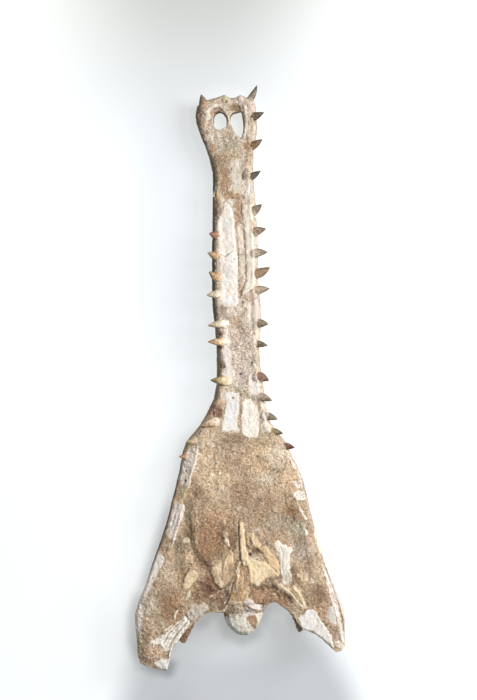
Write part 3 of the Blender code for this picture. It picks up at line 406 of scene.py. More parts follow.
# Soft tones of the ground between the bones, given one by one: pixel, half-width, half-height,
# colour, strength, and the share of it that a pale crust covers. Later ones lie over earlier ones.
TONES = [
    (238, 250, 40, 190, "c6b5a0", 1.0, 0.42), (218, 125, 34, 30, "b9a993", 1.0, 0.28),
    # The second tone here is painted shade on the snout tip's left edge.
    (203, 123.5, 5, 4.5, "ac8d66", 0.9, 0.1), (199.5, 112, 4.5, 20, "846f5c", 0.9, 0.08),
    (206, 137, 6, 9, "ad9077", 0.7, 0.2), (212.5, 149, 4, 5.5, "a0805f", 0.8, 0.1),
    (216, 110, 8, 4, "a5927c", 0.9, 0.05), (235.5, 108, 7.5, 4.5, "8d765a", 0.95, 0.05),
    (226, 134, 4, 5, "b79a82", 0.7, 0.2), (232, 142, 10, 9, "b0a38a", 0.9, 0.12),
    (229, 155.5, 12, 6.5, "bba688", 0.95, 0.08), (251, 108, 5, 5, "bca99d", 0.8, 0.3),
    (252, 128, 6, 14, "ad9a84", 0.85, 0.25), (248, 146, 6, 7, "ae8b66", 0.8, 0.2),
    (249, 157, 6, 9, "9a876f", 0.9, 0.2), (221, 173, 9, 20, "a38a6c", 0.9, 0.1),
    # The first tone here is painted shade on the snout's left edge.
    (216, 161, 4, 9, "84705c", 0.8, 0.1), (225, 184, 7, 13, "a0866a", 0.85, 0.1),
    (247, 191, 4, 10, "dccbb9", 0.8, 0.3), (209, 125, 6, 7, "d0bda6", 0.7, 0.3),
    (247, 168, 5, 12, "b39c82", 0.8, 0.2), (233, 195.5, 10, 5, "a48866", 0.95, 0.1),
    (218, 199, 5, 6, "b39975", 0.7, 0.2), (217.5, 211, 5, 8, "876e58", 0.9, 0.08),
    (238, 206, 4, 6, "a98a66", 0.8, 0.1), (238.3, 216, 3.5, 9, "a68867", 0.85, 0.1),
    (240.5, 290, 3, 9, "a88c6c", 0.85, 0.08), (216.5, 250, 4, 20, "cdbaa4", 0.7, 0.4),
    (216.5, 285, 4, 20, "bfa98f", 0.7, 0.35), (216, 232, 4, 5, "c0a186", 0.7, 0.3),
    (255, 235, 4, 24, "bcae9b", 0.85, 0.4), (250, 296.5, 8, 5, "c9aa8b", 0.85, 0.15),
    (233, 312, 7, 4, "e2d0ba", 0.8, 0.4), (225, 316, 4, 4, "b3a393", 0.8, 0.2),
    (219, 311, 6, 8, "a3927d", 0.9, 0.12), (237, 322, 9, 6, "b69b80", 0.85, 0.12),
    (238, 346, 9, 22, "c3b19e", 0.95, 0.12), (241, 376, 9, 14, "cfbdad", 0.95, 0.12),
    (246, 333, 5, 8, "b7a28a", 0.6, 0.2), (255, 338, 5, 10, "d2bfa6", 0.7, 0.5),
    (255, 361, 5, 10, "a99a88", 0.9, 0.3), (256, 389, 5, 9, "f4ece2", 0.8, 0.7),
    (257, 301, 4, 6, "a99886", 0.85, 0.2), (258, 315, 4, 8, "b3a497", 0.85, 0.2),
    (219.5, 341, 4, 12, "a08974", 0.7, 0.2), (222.5, 366, 4.5, 8, "9d8166", 0.85, 0.1),
    (218, 390, 6, 6, "b89c7e", 0.6, 0.3), (212, 402, 10, 4, "b5997b", 0.8, 0.2),
    (215.5, 412, 9, 9, "9b7a66", 0.95, 0.05), (207, 424, 9, 5, "d0b999", 0.7, 0.4),
    (240, 415, 3, 20, "b9a388", 0.9, 0.15), (264, 408, 5, 8, "cdbba3", 0.7, 0.4),
    (240, 520, 150, 90, "b49b7e", 1.0, 0.2), (262, 440, 13, 8, "b9a585", 0.8, 0.25),
    (234, 440, 13, 7, "8f7c60", 0.9, 0.06), (207, 440, 13, 9, "c6b297", 0.8, 0.3),
    (205, 462, 18, 22, "d2b897", 0.85, 0.32), (220, 484, 20, 22, "dabf9b", 0.8, 0.28),
    (236, 460, 12, 14, "b79c81", 0.8, 0.12), (256, 458, 14, 16, "c8ab88", 0.8, 0.2),
    (276, 455, 12, 14, "e6d1b3", 0.9, 0.25), (267, 479, 12, 6, "c9bba6", 0.7, 0.3),
    (266, 502, 12, 9, "967c63", 0.9, 0.08), (288, 483, 10, 12, "ceb18f", 0.75, 0.25),
    (240, 493, 13, 15, "a4876b", 0.85, 0.1), (290, 511, 14, 7, "9d7a57", 0.85, 0.06),
    (299, 529, 12, 10, "bdb198", 0.9, 0.15), (276, 521, 17, 13, "a18f79", 0.9, 0.07),
    (262, 516, 8, 8, "a98c6c", 0.6, 0.1), (303, 549, 14, 14, "bbaa98", 0.85, 0.3),
    (218, 520, 20, 12, "cba684", 0.85, 0.12), (210, 541, 16, 22, "a27f5e", 0.95, 0.1),
    (205, 561, 9, 12, "81654f", 0.9, 0.05), (209, 587, 13, 15, "7f5d48", 0.95, 0.04),
    (223, 597, 9, 8, "987c63", 0.9, 0.1), (221.5, 605, 5, 5, "7a614a", 0.85, 0.05),
    (232, 540, 5.5, 15, "8c6c52", 0.85, 0.08), (232, 520.5, 5, 6, "a0866b", 0.75, 0.1),
    # Both tones here are painted shade in the crease beside the left jugal.
    (188, 503, 6, 10, "8b7a62", 0.9, 0.06), (188, 524, 5, 26, "83735a", 0.95, 0.04),
    (184, 492, 5, 5, "a3966f", 0.8, 0.1), (184, 470, 7, 18, "cfc3b0", 0.6, 0.5),
    (180, 547, 7, 12, "82745e", 0.85, 0.12), (180, 563, 8, 10, "958469", 0.75, 0.15),
    (168, 574, 10, 14, "bba98e", 0.7, 0.3), (167, 595, 13, 14, "a28b71", 0.85, 0.12),
    (147, 602, 9, 20, "cdbca6", 0.85, 0.14), (138.5, 614, 5.5, 26, "e6dace", 0.85, 0.4),
    (173, 607, 14, 17, "a07f62", 0.9, 0.1), (150, 630, 10, 16, "c6ab8f", 0.85, 0.15),
    (152, 652, 12, 8, "ccb194", 0.75, 0.25), (192, 589, 8, 10, "ac8f6c", 0.7, 0.2),
    (199, 596, 9, 8, "98775a", 0.7, 0.1), (152, 655, 13, 9, "c6a688", 0.95, 0.3),
    (266, 593, 14, 11, "9a7b5f", 0.95, 0.1), (284, 600, 12, 10, "8f7056", 0.95, 0.04),
    # The second tone here is painted shadow right of the plaster.
    (269, 602, 8, 6, "84664b", 0.8, 0.05), (295, 575, 6, 12, "8a7159", 0.8, 0.08),
    (311, 574, 12, 15, "b9a387", 0.8, 0.3), (317, 595, 12, 12, "957a60", 0.85, 0.12),
    (322, 612, 11, 9, "b8967a", 0.85, 0.12), (308, 588.5, 5, 5, "9c8169", 0.6, 0.05),
    (335, 636, 7, 14, "a58c78", 0.95, 0.25), (317, 543, 7, 10, "c8b190", 0.6, 0.35),
    (232, 605, 12, 8, "bca88d", 0.95, 0.3), (234, 611.5, 10, 3.6, "b09d84", 0.85, 0.2),
    (252, 592, 8, 6, "a07c5a", 0.8, 0.1), (256, 549, 6, 6, "96795c", 0.8, 0.1),
    (263, 575, 9, 6, "d9bf92", 0.4, 0.2), (221.5, 604.5, 4.5, 5.5, "775e48", 0.85, 0.05),
    # The second tone here is painted shadow under the tuber.
    (216, 600, 5, 5, "8a7058", 0.7, 0.05), (249, 610.5, 5, 4, "a0979a", 0.8, 0.1),
]
# Tones within the bones, in the same way.
BONE_TONES = [
    (246.8, 575, 3.6, 9, "8f6a45", 0.75), (230.6, 569, 3, 7, "8a6542", 0.85),
    (240.5, 568, 3, 5, "9c7853", 0.8), (246.4, 590, 3.4, 7, "a5825a", 0.7),
    (234, 586, 2.4, 8, "8a6a4a", 0.5), (240, 591.5, 4.4, 5, "ad8b62", 0.4),
    (261, 571, 7, 5, "f4dfba", 0.6), (273, 572.5, 5, 4, "c9ad85", 0.6),
    (219, 578, 4, 7, "ab9070", 0.65), (213.5, 572, 3, 4, "a58b6e", 0.6),
    (228, 559, 3.5, 5, "e4c59a", 0.5), (245, 556, 3.5, 6, "dcc29a", 0.6),
    # The second tone here is painted light: the condyle's left rim, nearly white against the shade that
    # falls on it.
    (262, 549, 3, 3, "c0a078", 0.4), (225.5, 623, 5.5, 13, "f6f8f6", 0.95),
    (246.8, 190, 2.6, 9, "f8ecde", 0.9), (252.4, 190, 2.4, 8, "c0b2a8", 0.7),
    (242, 280, 2.6, 7, "b09a86", 0.8), (232.5, 615.5, 5.5, 3.4, "958d7e", 0.8),
    # The first tone here is painted shadow under the tuber.
    (251.5, 612, 7.5, 3.2, "a2979a", 0.75), (240, 613, 4, 4, "c4b7a0", 0.5),
    (226.5, 225, 6, 10, "dedcd6", 0.65), (229.5, 272, 8, 16, "e2ddd4", 0.65),
    (229, 301, 8, 5, "e8e6e2", 0.6), (231, 410, 6, 14, "e2e2de", 0.65),
    (195.5, 575, 2.4, 4, "b39874", 0.6), (288, 578.5, 4, 7, "bfae92", 0.8),
    (308, 615, 7, 5, "f6f2ee", 0.6),
]
# Teeth: base and tip in pixels, width in mm, bend of the tip towards the snout in mm, colours
# of root, crown and tip.
TEETH = {
    "left_1": (204, 108.4, 201.2, 94.4, 17.0, -0.8, "ad947a", "9c7e62", "65523f"),
    "left_2": (218.6, 200.5, 217.2, 188.8, 12.0, 0.0, "bba184", "b39268", "bb9c72"),
    "left_3": (219, 236, 209.2, 233.4, 17.5, 0.4, "b99e88", "9c7257", "8c6656"),
    "left_4": (220.2, 257, 207.4, 252.3, 16.5, 1.6, "c4ab8d", "b79066", "a8977a"),
    "left_5": (220.2, 278, 208.9, 271.8, 18.0, 2.0, "cdb08f", "bf9b76", "a08260"),
    "left_6": (220.2, 295, 206.8, 295.3, 16.0, -1.6, "d4c4a8", "cdbba0", "ad9d80"),
    "left_7": (225.5, 324, 207.8, 325.8, 15.0, -1.4, "e0d4be", "d8c8aa", "a8926e"),
    "left_8": (225, 342.3, 207.8, 341.8, 14.5, -0.6, "e0d2b8", "d2b68c", "9e7850"),
    "left_9": (228, 381.5, 210.4, 380.2, 17.0, -0.8, "d6c2a4", "cdb48c", "80694a"),
    "left_10": (216.5, 422.5, 199.5, 426, 16.5, -1.6, "d1bfa9", "c2a98b", "9c7c5f"),
    "left_11": (199.5, 441.2, 186, 442, 14.5, -0.8, "d8cab2", "ceb796", "ac8a68"),
    "left_12": (188, 456.5, 178.9, 456.5, 11.5, 0.3, "c2a283", "b0876a", "8a6549"),
    "right_1": (248.8, 101.5, 257.2, 85.3, 12.0, 1.4, "ab9a85", "84755f", "51473a"),
    "right_2": (250, 118, 263.8, 112.4, 15.5, 1.0, "8c7a66", "675541", "453a30"),
    "right_3": (249.8, 147, 262.3, 139.4, 15.0, 1.2, "b08f62", "806546", "564636"),
    "right_4": (249.8, 177.3, 260.6, 170.9, 13.0, 1.0, "9a8976", "6d5f50", "4c443a"),
    "right_5": (252, 211.5, 261.8, 204.4, 16.0, 1.4, "bcae99", "95826a", "5d5141"),
    "right_6": (253.3, 233.2, 265.9, 228.8, 16.5, -1.6, "c6b49d", "9d8870", "665643"),
    "right_7": (254.5, 253.8, 267.5, 252.2, 15.5, -1.6, "cabeaa", "ab9b80", "736652"),
    "right_8": (256.3, 273.2, 269.9, 267.4, 17.0, 2.6, "bda588", "a08468", "68553f"),
    "right_9": (255.5, 291.8, 269.7, 288.6, 15.5, -2.2, "d8c2ac", "b6a088", "7c6c58"),
    "right_10": (258.2, 323.8, 268.3, 324, 15.5, -1.2, "b4a992", "8e7e65", "6a5d48"),
    "right_11": (256.8, 344.5, 267.5, 345.6, 12.5, -1.6, "b0a08c", "82705a", "5b4d3b"),
    "right_12": (257.3, 377, 269, 380.6, 17.5, -2.6, "ac907c", "8d6a52", "604a3a"),
    "right_13": (258.6, 397.2, 272.3, 400.8, 15.0, -2.2, "ccbeaa", "a18c75", "6f5e4a"),
    "right_14": (267, 416.6, 277.5, 419.3, 13.5, -1.6, "c8bdb4", "93826a", "6a5a44"),
    "right_15": (272.8, 432, 283, 433.4, 13.0, -1.2, "b8a582", "8f795a", "6a563a"),
    "right_16": (285.2, 446.5, 294.6, 447.6, 12.5, -1.2, "a48979", "795746", "563c30"),
}
# How far some teeth lie above the others, in mm.
TOOTH_LIFT = {
    "left_7": 3.0, "left_8": 3.0, "left_9": 3.5, "left_10": 2.0, "right_13": 2.5, "right_14": 2.5,
}
# Width of a tooth from base to tip, as a share of its full width: shares of its length, widths.
TOOTH_PROFILE = (
    (0, 0.15, 0.35, 0.55, 0.72, 0.86, 0.95, 1),
    (1.0, 1.04, 0.97, 0.82, 0.6, 0.36, 0.19, 0.04),
)
TOOTH_RINGS = 16
CONE_BASE, CONE_TIP = 0.5, 0.02  # radii of the cone that a tooth is made from
ROUGH_HEIGHT = 60.0  # mm above the table, good enough to find the palate's height at a tooth
TOOTH_SUNK = 6.5  # mm from the palate down to the middle of a tooth's base
ROOT_DEPTH = 4.5  # mm of root inside the jaw
TOOTH_THICKNESS = 0.8  # as a share of its width
TOOTH_ARCH = 0.06  # rise of its middle, as a share of its length
TOOTH_BEND = 0.75  # share of the bend in TEETH that its middle takes
ENAMEL_BLOTCH = "dccdb3"
# Worn roots and stubs that stay in the jaw: pixel, half-width, half-height, mm, colour.
STUBS = [
    (218, 402.5, 8.0, 3.0, 2.2, "bd9f80"), (250.5, 295.5, 7.5, 3.0, 1.0, "c9b49d"),
    (255, 377.5, 2.8, 3.8, 1.5, "b8a7a2"), (264.5, 416.5, 4.0, 4.0, 1.6, "d8cdc0"),
    (257.2, 360, 2.9, 3.0, 1.8, "aca58c"), (261, 387, 1.7, 1.8, 1.2, "a39c90"),
    (262.4, 407, 2.4, 2.4, 1.6, "d5cab4"), (253.5, 253.5, 3.2, 4.0, 1.2, "b5a794"),
    (218, 133, 1.5, 1.5, 0.6, "dccfba"), (186.3, 540.8, 3.6, 3.4, 2.2, "b9ab88"),
    (226.3, 100, 4.0, 5.0, 1.0, "b9ad8c"), (240.5, 98.5, 3.0, 3.0, 0.8, "d3bfb2"),
    (253, 227, 2.2, 6.0, 0.6, "c2ac90"), (240, 596.5, 5.0, 5.0, 0.8, "c29d72"),
    (257.5, 597, 4.5, 6.5, 0.6, "9a7759"), (204, 416.5, 3.0, 3.0, 0.6, "c9b092"),
]
# Thin raised lines of bone: width in pixels, height in mm, colour, path.
LINES = [
    (1.6, 1.0, "e6d8bf", [(221.7, 107.6), (225.2, 111.3), (227.8, 115.5), (229, 120), (229.2, 125)]),
    (1.2, 0.3, "d3c0a2", [(234, 110), (231.5, 113.5), (229.5, 117)]),
    (0.8, 0.6, "e2d2b8", [(209.5, 597.5), (214, 594.8), (219, 592), (224, 590)]),
    (0.8, 0.6, "dfcfb4", [(218.5, 599.5), (223, 597), (228, 594)]),
    (0.8, 0.6, "dccbb0", [(221, 591), (224.5, 594), (228, 598.5)]),
    (1.3, 0.6, "dcc294", [(245.5, 588), (246.5, 594), (247.3, 600)]),
    (1.4, 1.2, "e2cda6", [(221, 545), (223.5, 542), (226, 540.5)]),
    (1.1, 0.6, "e0d4c0", [(196, 604), (191, 609), (187.5, 612)]),
    (0.9, 0.6, "ead8b8", [(240.3, 560.5), (238, 566), (236, 572)]),
    (1.3, 1.2, "eee0c2", [(250, 557.5), (252, 559.3), (255.5, 558), (258, 557)]),
    (1.2, 1.0, "e8d8b8", [(251, 560.5), (255.5, 561.5), (259.5, 560)]),
    (1.3, 0.9, "efe7da", [(176, 623.5), (171, 629), (166, 633.5), (158, 638)]),
    (1.2, 0.9, "f1ebe0", [(185, 620), (179, 628), (174, 634.5), (165, 641)]),
    (1.0, 0.6, "dcc9a8", [(270, 594), (275, 595), (280, 594.5)]),
    (1.2, 1.4, "f4ead4", [(255, 584), (257, 582), (259.5, 580)]),
    (1.5, 1.0, "e6cfa6", [(240.5, 561), (237.8, 568), (238.6, 576), (236.6, 584)]),
    (1.2, 0.9, "dcc193", [(241.5, 571), (243.4, 579), (241.4, 587), (245, 593)]),
    (1.3, 0.9, "e7d8bb", [(249, 534), (251.5, 540), (255, 545.5)]),
    (0.9, 0.5, "d9cdb5", [(186.5, 606), (190, 607), (193, 604)]),
    (1.6, 1.2, "f8f0de", [(160, 641), (164, 631), (170, 627), (177, 623.5), (185, 618)]),
    (1.6, 1.2, "f6ecd8", [(167, 647), (170, 641), (175, 633), (182, 625), (186, 621)]),
    (2.8, 1.2, "efe8dc", [(170, 661), (170.6, 650), (173.5, 643), (178, 635), (184.5, 627),
        (189, 620.5)]),
    (4.4, 1.5, "e2cba6", [(278.5, 585.8), (284, 589), (290, 594.6), (296, 601.6), (301.5, 608.4)]),
    (3.4, 1.4, "dec6a0", [(294.6, 587), (299.2, 593), (303, 601), (305, 607.5)]),
    (0.7, 0.5, "f2eadf", [(176.5, 504), (173.4, 514), (170.4, 526)]),
    (0.7, 0.5, "f2eadf", [(180, 505), (176.6, 516), (172.4, 530)]),
    (0.7, 0.5, "f4ece1", [(182.6, 508), (179, 519), (174.6, 532)]),
    (1.5, 0.8, "c9bca6", [(241, 605), (242.4, 610), (242, 616)]),
    (1.2, 0.8, "ddd0bd", [(188.6, 449), (192.5, 446.5), (197.5, 446.3), (201.5, 448)]),
    (1.8, 1.0, "e6ca9e", [(229.8, 551), (227.5, 556), (225.5, 562), (223.8, 568)]),
    (1.1, 0.6, "ead8b6", [(210.7, 569.3), (213.6, 576), (216.4, 582), (220.6, 587.3)]),
    (0.8, 0.4, "dac5a1", [(216, 566), (217.4, 573), (219.6, 580)]),
    (0.7, 0.5, "efe4cf", [(227.6, 539), (229.4, 545), (231.4, 551)]),
    (0.7, 0.5, "e6d7bc", [(222.4, 532), (224.2, 538), (226, 543)]),
    (0.7, 0.5, "e2cfae", [(226.6, 558), (225, 565), (223.4, 572), (221.6, 577)]),
    (0.7, 0.5, "e8d6b4", [(232.6, 571), (231, 577), (228.4, 582)]),
    (0.7, 0.5, "ead7b2", [(236.4, 588), (238, 594), (237, 600)]),
    (1.0, 0.6, "e2cfa8", [(234.6, 589), (236.6, 585.4), (240.5, 583.6), (244.4, 585.4), (246.4, 589)]),
    (1.5, 0.4, "eee4d8", [(152.5, 573), (146, 587), (140.5, 598.5), (136.5, 611)]),
]
# The two broken rods: from and to in pixels, height above the table and width in mm, dark and
# light tone.
ROD_RISE = 4.0  # mm that a rod's first end lies above its last
RODS = {
    "rod_left": ((195.5, 614), (182.0, 641.5), 58.0, 11.5, "6f5847", "9a7c62"),
    # The right rod's pale tones are painted light, lifting it against the shade it lies in.
    "rod_right": ((290.5, 607), (300.6, 631), 58.0, 8.5, "d0bcae", "f0dccb"),
}
# The neck between palate and condyle: middle in pixels, height in mm, half-sizes in mm.
NECK = [
    ((243.5, 606.5), 79.0, (37.0, 19.0, 13.5)), ((262.5, 605.0), 80.0, (8.0, 6.5, 9.0)),
]
# Studio lights: place in metres, size in metres, power in watts.
LIGHT_COLOUR = (0.97, 0.985, 1.03)
LIGHTS = {
    "window_right": ((1.9, 0.6, 1.7), 1.1, 75.0),
    "overhead": ((1.1, 0.9, 3.0), 1.4, 52.0),
}
WORLD_COLOUR = (0.95, 0.97, 1.0)
WORLD_STRENGTH = 0.11
# The paper's own glow, painted light that keeps it bright: its strength, its colour and its colour at the
# far end.
PAPER_GLOW = 0.76
PAPER_COOL = (0.972, 1.0, 1.0)
PAPER_WARM = (1.0, 0.99, 0.89)
# Ovals on the paper: middle and half-size in metres, and the share of it that is even. One is the
# paper's middle, brighter as painted light, with the level of light outside it, and one is its warm far
# end.
PAPER_LIT = ((0.0, 0.04), (1.4, 1.4), 0.62)
PAPER_OUTSIDE = 0.74
PAPER_FAR = ((0.0, 0.85), (1.2, 0.5), 0.3)
# Painted shade and light on the paper, in the same way, with the share of light taken away; a share below
# 0 adds light.
PAPER_SPOTS = [
    ((-0.008, -0.65), (0.25, 0.31), 0.72, 0.42), ((-0.12, -0.66), (0.08, 0.2), 0.2, 0.07),
    ((-0.05, 0.69), (0.33, 0.46), 0.15, 0.33), ((-0.006, 0.43), (0.08, 0.08), 0.15, -0.14),
    ((-0.01, -0.45), (0.14, 0.07), 0.2, -0.11), ((-0.2, -0.34), (0.09, 0.13), 0.2, -0.09),
    ((0.03, 0.8), (0.45, 0.28), 0.2, 0.12), ((-0.11, 0.2), (0.1, 0.35), 0.1, 0.12),
    ((-0.24, -0.47), (0.1, 0.1), 0.2, -0.05), ((-0.15, -0.2), (0.07, 0.2), 0.1, -0.05),
]
# Shade on the paper under the skull and beside it: the skull's outline in pixels, how far beside
# it the shade fades out, and where it is deep, as pixel, half-width, half-height and the share of
# the light taken away.
SKULL_OUTLINE = [
    (213, 300), (206, 412), (199, 430), (186, 441), (178, 480), (165, 525), (149, 574), (138, 598),
    (134, 614), (133, 640), (139, 663), (168, 671), (176, 650), (196, 629), (210, 614), (222, 613),
    (227, 632), (242, 640), (256, 634), (263, 610), (274, 603), (288, 610), (300, 631), (320, 641),
    (334, 652), (343, 640), (342, 615), (326, 574), (306, 500), (283, 440), (262, 400), (255, 300),
]
SHADE_REACH = 12.0
PAPER_SHADE = [
    (190, 466, 26, 50, 0.12), (160, 550, 34, 62, 0.36), (140, 625, 34, 42, 0.38),
    (160, 670, 30, 12, 0.24), (213, 618, 30, 16, 0.16), (240, 634, 26, 20, 0.17),
    (284, 612, 30, 24, 0.18), (210, 540, 84, 90, 0.2),
]
# The sheet: half the width and length of its finely divided middle, and half its whole size, mm.
SHEET_CELLS = (170, 256)
SHEET_MIDDLE = (430.0, 640.0)
SHEET_HALF = 12000.0


# ---------------------------------------------------------------- measuring
def rows_at(rows, y):
    """Values of a table of (y, value, ...) at many y, one array for each value."""
    rows = sorted(rows)
    at = [row[0] for row in rows]
    return [np.interp(y, at, [row[n] for row in rows]) for n in range(1, len(rows[0]))]


def palate_height(y):
    """Palate height in mm at y in mm of the frame."""
    return rows_at(PALATE, np.asarray(y) - PLAN_TO_FRAME_Y)[0]


def ease(low, high, value):
    """0 below low, 1 above high, and a smooth step between."""
    share = np.clip((value - low) / (high - low), 0.0, 1.0)
    return share * share * (3.0 - 2.0 * share)


def path_distance(u, v, path):
    """Distance in pixels from points to a path."""
    best = np.full(u.shape, 1e9)
    for (ax, ay), (bx, by) in zip(path, path[1:]):
        dx, dy = bx - ax, by - ay
        share = np.clip(((u - ax) * dx + (v - ay) * dy) / (dx * dx + dy * dy), 0.0, 1.0)
        best = np.minimum(best, np.hypot(u - ax - share * dx, v - ay - share * dy))
    return best


def outline_depth(u, v, outline):
    """Distance in pixels inside an outline, negative outside it."""
    inside = np.zeros(u.shape, bool)
    for (ax, ay), (bx, by) in zip(outline, outline[1:] + outline[:1]):
        if ay != by:
            inside ^= ((ay > v) != (by > v)) & (u < (bx - ax) * (v - ay) / (by - ay) + ax)
    edge = path_distance(u, v, outline + outline[:1])
    return np.where(inside, edge, -edge)


def oval_reach(u, v, oval):
    """How far points lie from the middle of an oval, which is 1 on its rim."""
    x, y, half_width, half_height = oval
    return np.hypot((u - x) / half_width, (v - y) / half_height)


def near(u, v, points, margin):
    """Indices of the points within a margin of an outline's own box."""
    left, right = min(p[0] for p in points) - margin, max(p[0] for p in points) + margin
    top, bottom = min(p[1] for p in points) - margin, max(p[1] for p in points) + margin
    return np.nonzero((u > left) & (u < right) & (v > top) & (v < bottom))[0]


def lattice_number(cell, seed):
    """A number between 0 and 1 for each whole-number cell, the same on every run."""
    key = cell @ np.array([73856093, 19349663, 83492791]) + seed * 7919
    key = (key ^ key >> 13) * 1274126177 & 0x7FFFFFFF
    key = (key ^ key >> 15) * 668265263 & 0x7FFFFFFF
    return (key >> 7 & 0xFFFF) / 65535.0


def grain(points, size, seed, octaves=2):
    """Smooth noise between -1 and 1 at points in mm, with crests about `size` mm apart."""
    total = np.zeros(len(points))
    reach, strength = size / 2, 1.0
    for octave in range(octaves):
        cell = points / reach + seed * 17.3 + octave * 5.1
        base = np.floor(cell).astype(np.int64)
        part = cell - base
        part = part * part * (3.0 - 2.0 * part)
        value = np.zeros(len(points))
        for corner in range(8):
            offset = np.array([corner & 1, corner >> 1 & 1, corner >> 2 & 1])
            weight = np.prod(np.where(offset, part, 1.0 - part), axis=1)
            value += weight * (lattice_number(base + offset, seed) * 2.0 - 1.0)
        total += strength * value
        reach, strength = reach * 0.5, strength * 0.55
    return total * 1.25


def crumbs(points, size, share, seed):
    """Round pits or grains scattered about `size` mm apart: 1 in their middle, 0 outside them."""
    cell = points / size + seed * 3.7
    base = np.floor(cell).astype(np.int64)
    best = np.zeros(len(points))
    for corner in range(27):
        near_cell = base + np.array([corner % 3 - 1, corner // 3 % 3 - 1, corner // 9 - 1])
        middle = near_cell + np.stack([lattice_number(near_cell, seed + n) for n in (1, 2, 3)], axis=1)
        reach = 0.25 + 0.35 * lattice_number(near_cell, seed + 4)
        kept = lattice_number(near_cell, seed + 5) < share
        away = np.linalg.norm(cell - middle, axis=1) / reach
        best = np.maximum(best, np.where(kept, 1.0 - ease(0.3, 1.0, away), 0.0))
    return best


# ---------------------------------------------------------------- meshes
def clear_selection():
    if bpy.context.object and bpy.context.object.mode != "OBJECT":
        bpy.ops.object.mode_set(mode="OBJECT")
    bpy.ops.object.select_all(action="DESELECT")


def activate(obj):
    clear_selection()
    obj.select_set(True)
    bpy.context.view_layer.objects.active = obj


def apply_modifiers(obj):
    activate(obj)
    for modifier in list(obj.modifiers):
        bpy.ops.object.modifier_apply(modifier=modifier.name)


def vertex_array(mesh):
    flat = np.empty(len(mesh.vertices) * 3, np.float32)
    mesh.vertices.foreach_get("co", flat)
    return flat.reshape(-1, 3).astype(float) * 1000.0


def set_vertices(mesh, points):
    mesh.vertices.foreach_set("co", (points / 1000.0).astype(np.float32).ravel())
    mesh.update()


def normal_array(mesh):
    flat = np.empty(len(mesh.vertices) * 3, np.float32)
    mesh.vertex_normals.foreach_get("vector", flat)
    return flat.reshape(-1, 3).astype(float)


def blurred(mesh, points, steps):
    """The points after steps of averaging each with its neighbours."""
    edges = np.empty(len(mesh.edges) * 2, np.int32)
    mesh.edges.foreach_get("vertices", edges)
    first, second = edges.reshape(-1, 2).T
    count = np.bincount(edges, minlength=len(points)).astype(float)
    points = points.copy()
    for _ in range(steps):
        for axis in range(3):
            values = points[:, axis]
            total = np.bincount(first, values[second], len(points))
            total += np.bincount(second, values[first], len(points))
            points[:, axis] = 0.5 * values + 0.5 * total / count
    return points


def point_value(mesh, name, values):
    layer = mesh.attributes.new(name, "FLOAT", "POINT")
    layer.data.foreach_set("value", values.astype(np.float32))


def point_colour(mesh, name, colours):
    layer = mesh.attributes.new(name, "FLOAT_COLOR", "POINT")
    with_alpha = np.ones((len(colours), 4), np.float32)
    with_alpha[:, :3] = colours
    layer.data.foreach_set("color", with_alpha.ravel())


def merged_copy(name):
    """A copy of a CAD node with its points merged, its teeth drawn in and its skin thickened
    enough to close the gap to its neighbours."""
    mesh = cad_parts[name].data.copy()
    bm = bmesh.new()
    bm.from_mesh(mesh)
    bmesh.ops.remove_doubles(bm, verts=bm.verts[:], dist=1e-6)
    bm.to_mesh(mesh)
    bm.free()
    points = vertex_array(mesh)
    plan_y = points[:, 1] - PLAN_TO_FRAME_Y
    high = palate_height(points[:, 1])
    if name in TOOTHED:
        left, right = rows_at(JAW, plan_y)
        out_left, out_right = points[:, 0] < left - JAW_SIDE[0], points[:, 0] > right + JAW_SIDE[0]
        points[out_left, 0] = left[out_left] + JAW_SIDE[1]
        points[out_right, 0] = right[out_right] - JAW_SIDE[1]
        ahead, above = plan_y > SNOUT_END + JAW_FRONT[0], points[:, 2] > high + JAW_TOP[0]
        points[:, 1] = np.where(ahead, SNOUT_END - JAW_FRONT[1], points[:, 1])
        points[:, 2] = np.where(above, high - JAW_TOP[1], points[:, 2])
    if name == "premaxilla":
        (x_low, x_high), (y_low, y_high), ahead = OPENING_WALLS
        low = (points[:, 2] < 20.0) & (plan_y > y_low) & (plan_y < y_high)
        points[low & (points[:, 0] > x_low) & (points[:, 0] < x_high), 1] += ahead
    if name in RAISED:
        points[:, 2] = np.minimum(points[:, 2], high - RAISED_SUNK)
    if name == "basioccipital":
        points[:, 0] += CONDYLE_WIDER * (points[:, 0] - points[:, 0].mean()) + CONDYLE_SHIFT
    set_vertices(mesh, points)
    set_vertices(mesh, points + normal_array(mesh) * SKIN_THICKER)
    obj = bpy.data.objects.new(name + "_copy", mesh)
    bpy.context.scene.collection.objects.link(obj)
    return obj


def neck_piece(middle, high, half):
    """A rounded filling of the step between the palate and the occipital condyle."""
    clear_selection()
    bpy.ops.mesh.primitive_uv_sphere_add(segments=48, ring_count=24, radius=1.0)
    obj = bpy.context.object
    points = vertex_array(obj.data) / 1000.0 * np.array(half)
    set_vertices(obj.data, points + np.array((*table_point(*middle, high), high)))
    return obj


def joined(objects, name):
    clear_selection()
    for obj in objects:
        obj.select_set(True)
    bpy.context.view_layer.objects.active = objects[0]
    if len(objects) > 1:
        bpy.ops.object.join()
    objects[0].name = name
    return objects[0]


def remeshed(obj, voxel_mm, smooth_steps):
    """One even skin over everything in the object, with its facets smoothed away."""
    remesh = obj.modifiers.new("skin", "REMESH")
    remesh.mode = "VOXEL"
    remesh.voxel_size = voxel_mm / 1000.0
    remesh.use_smooth_shade = True
    soften = obj.modifiers.new("soften", "SMOOTH")
    soften.factor = 0.5
    soften.iterations = smooth_steps
    apply_modifiers(obj)


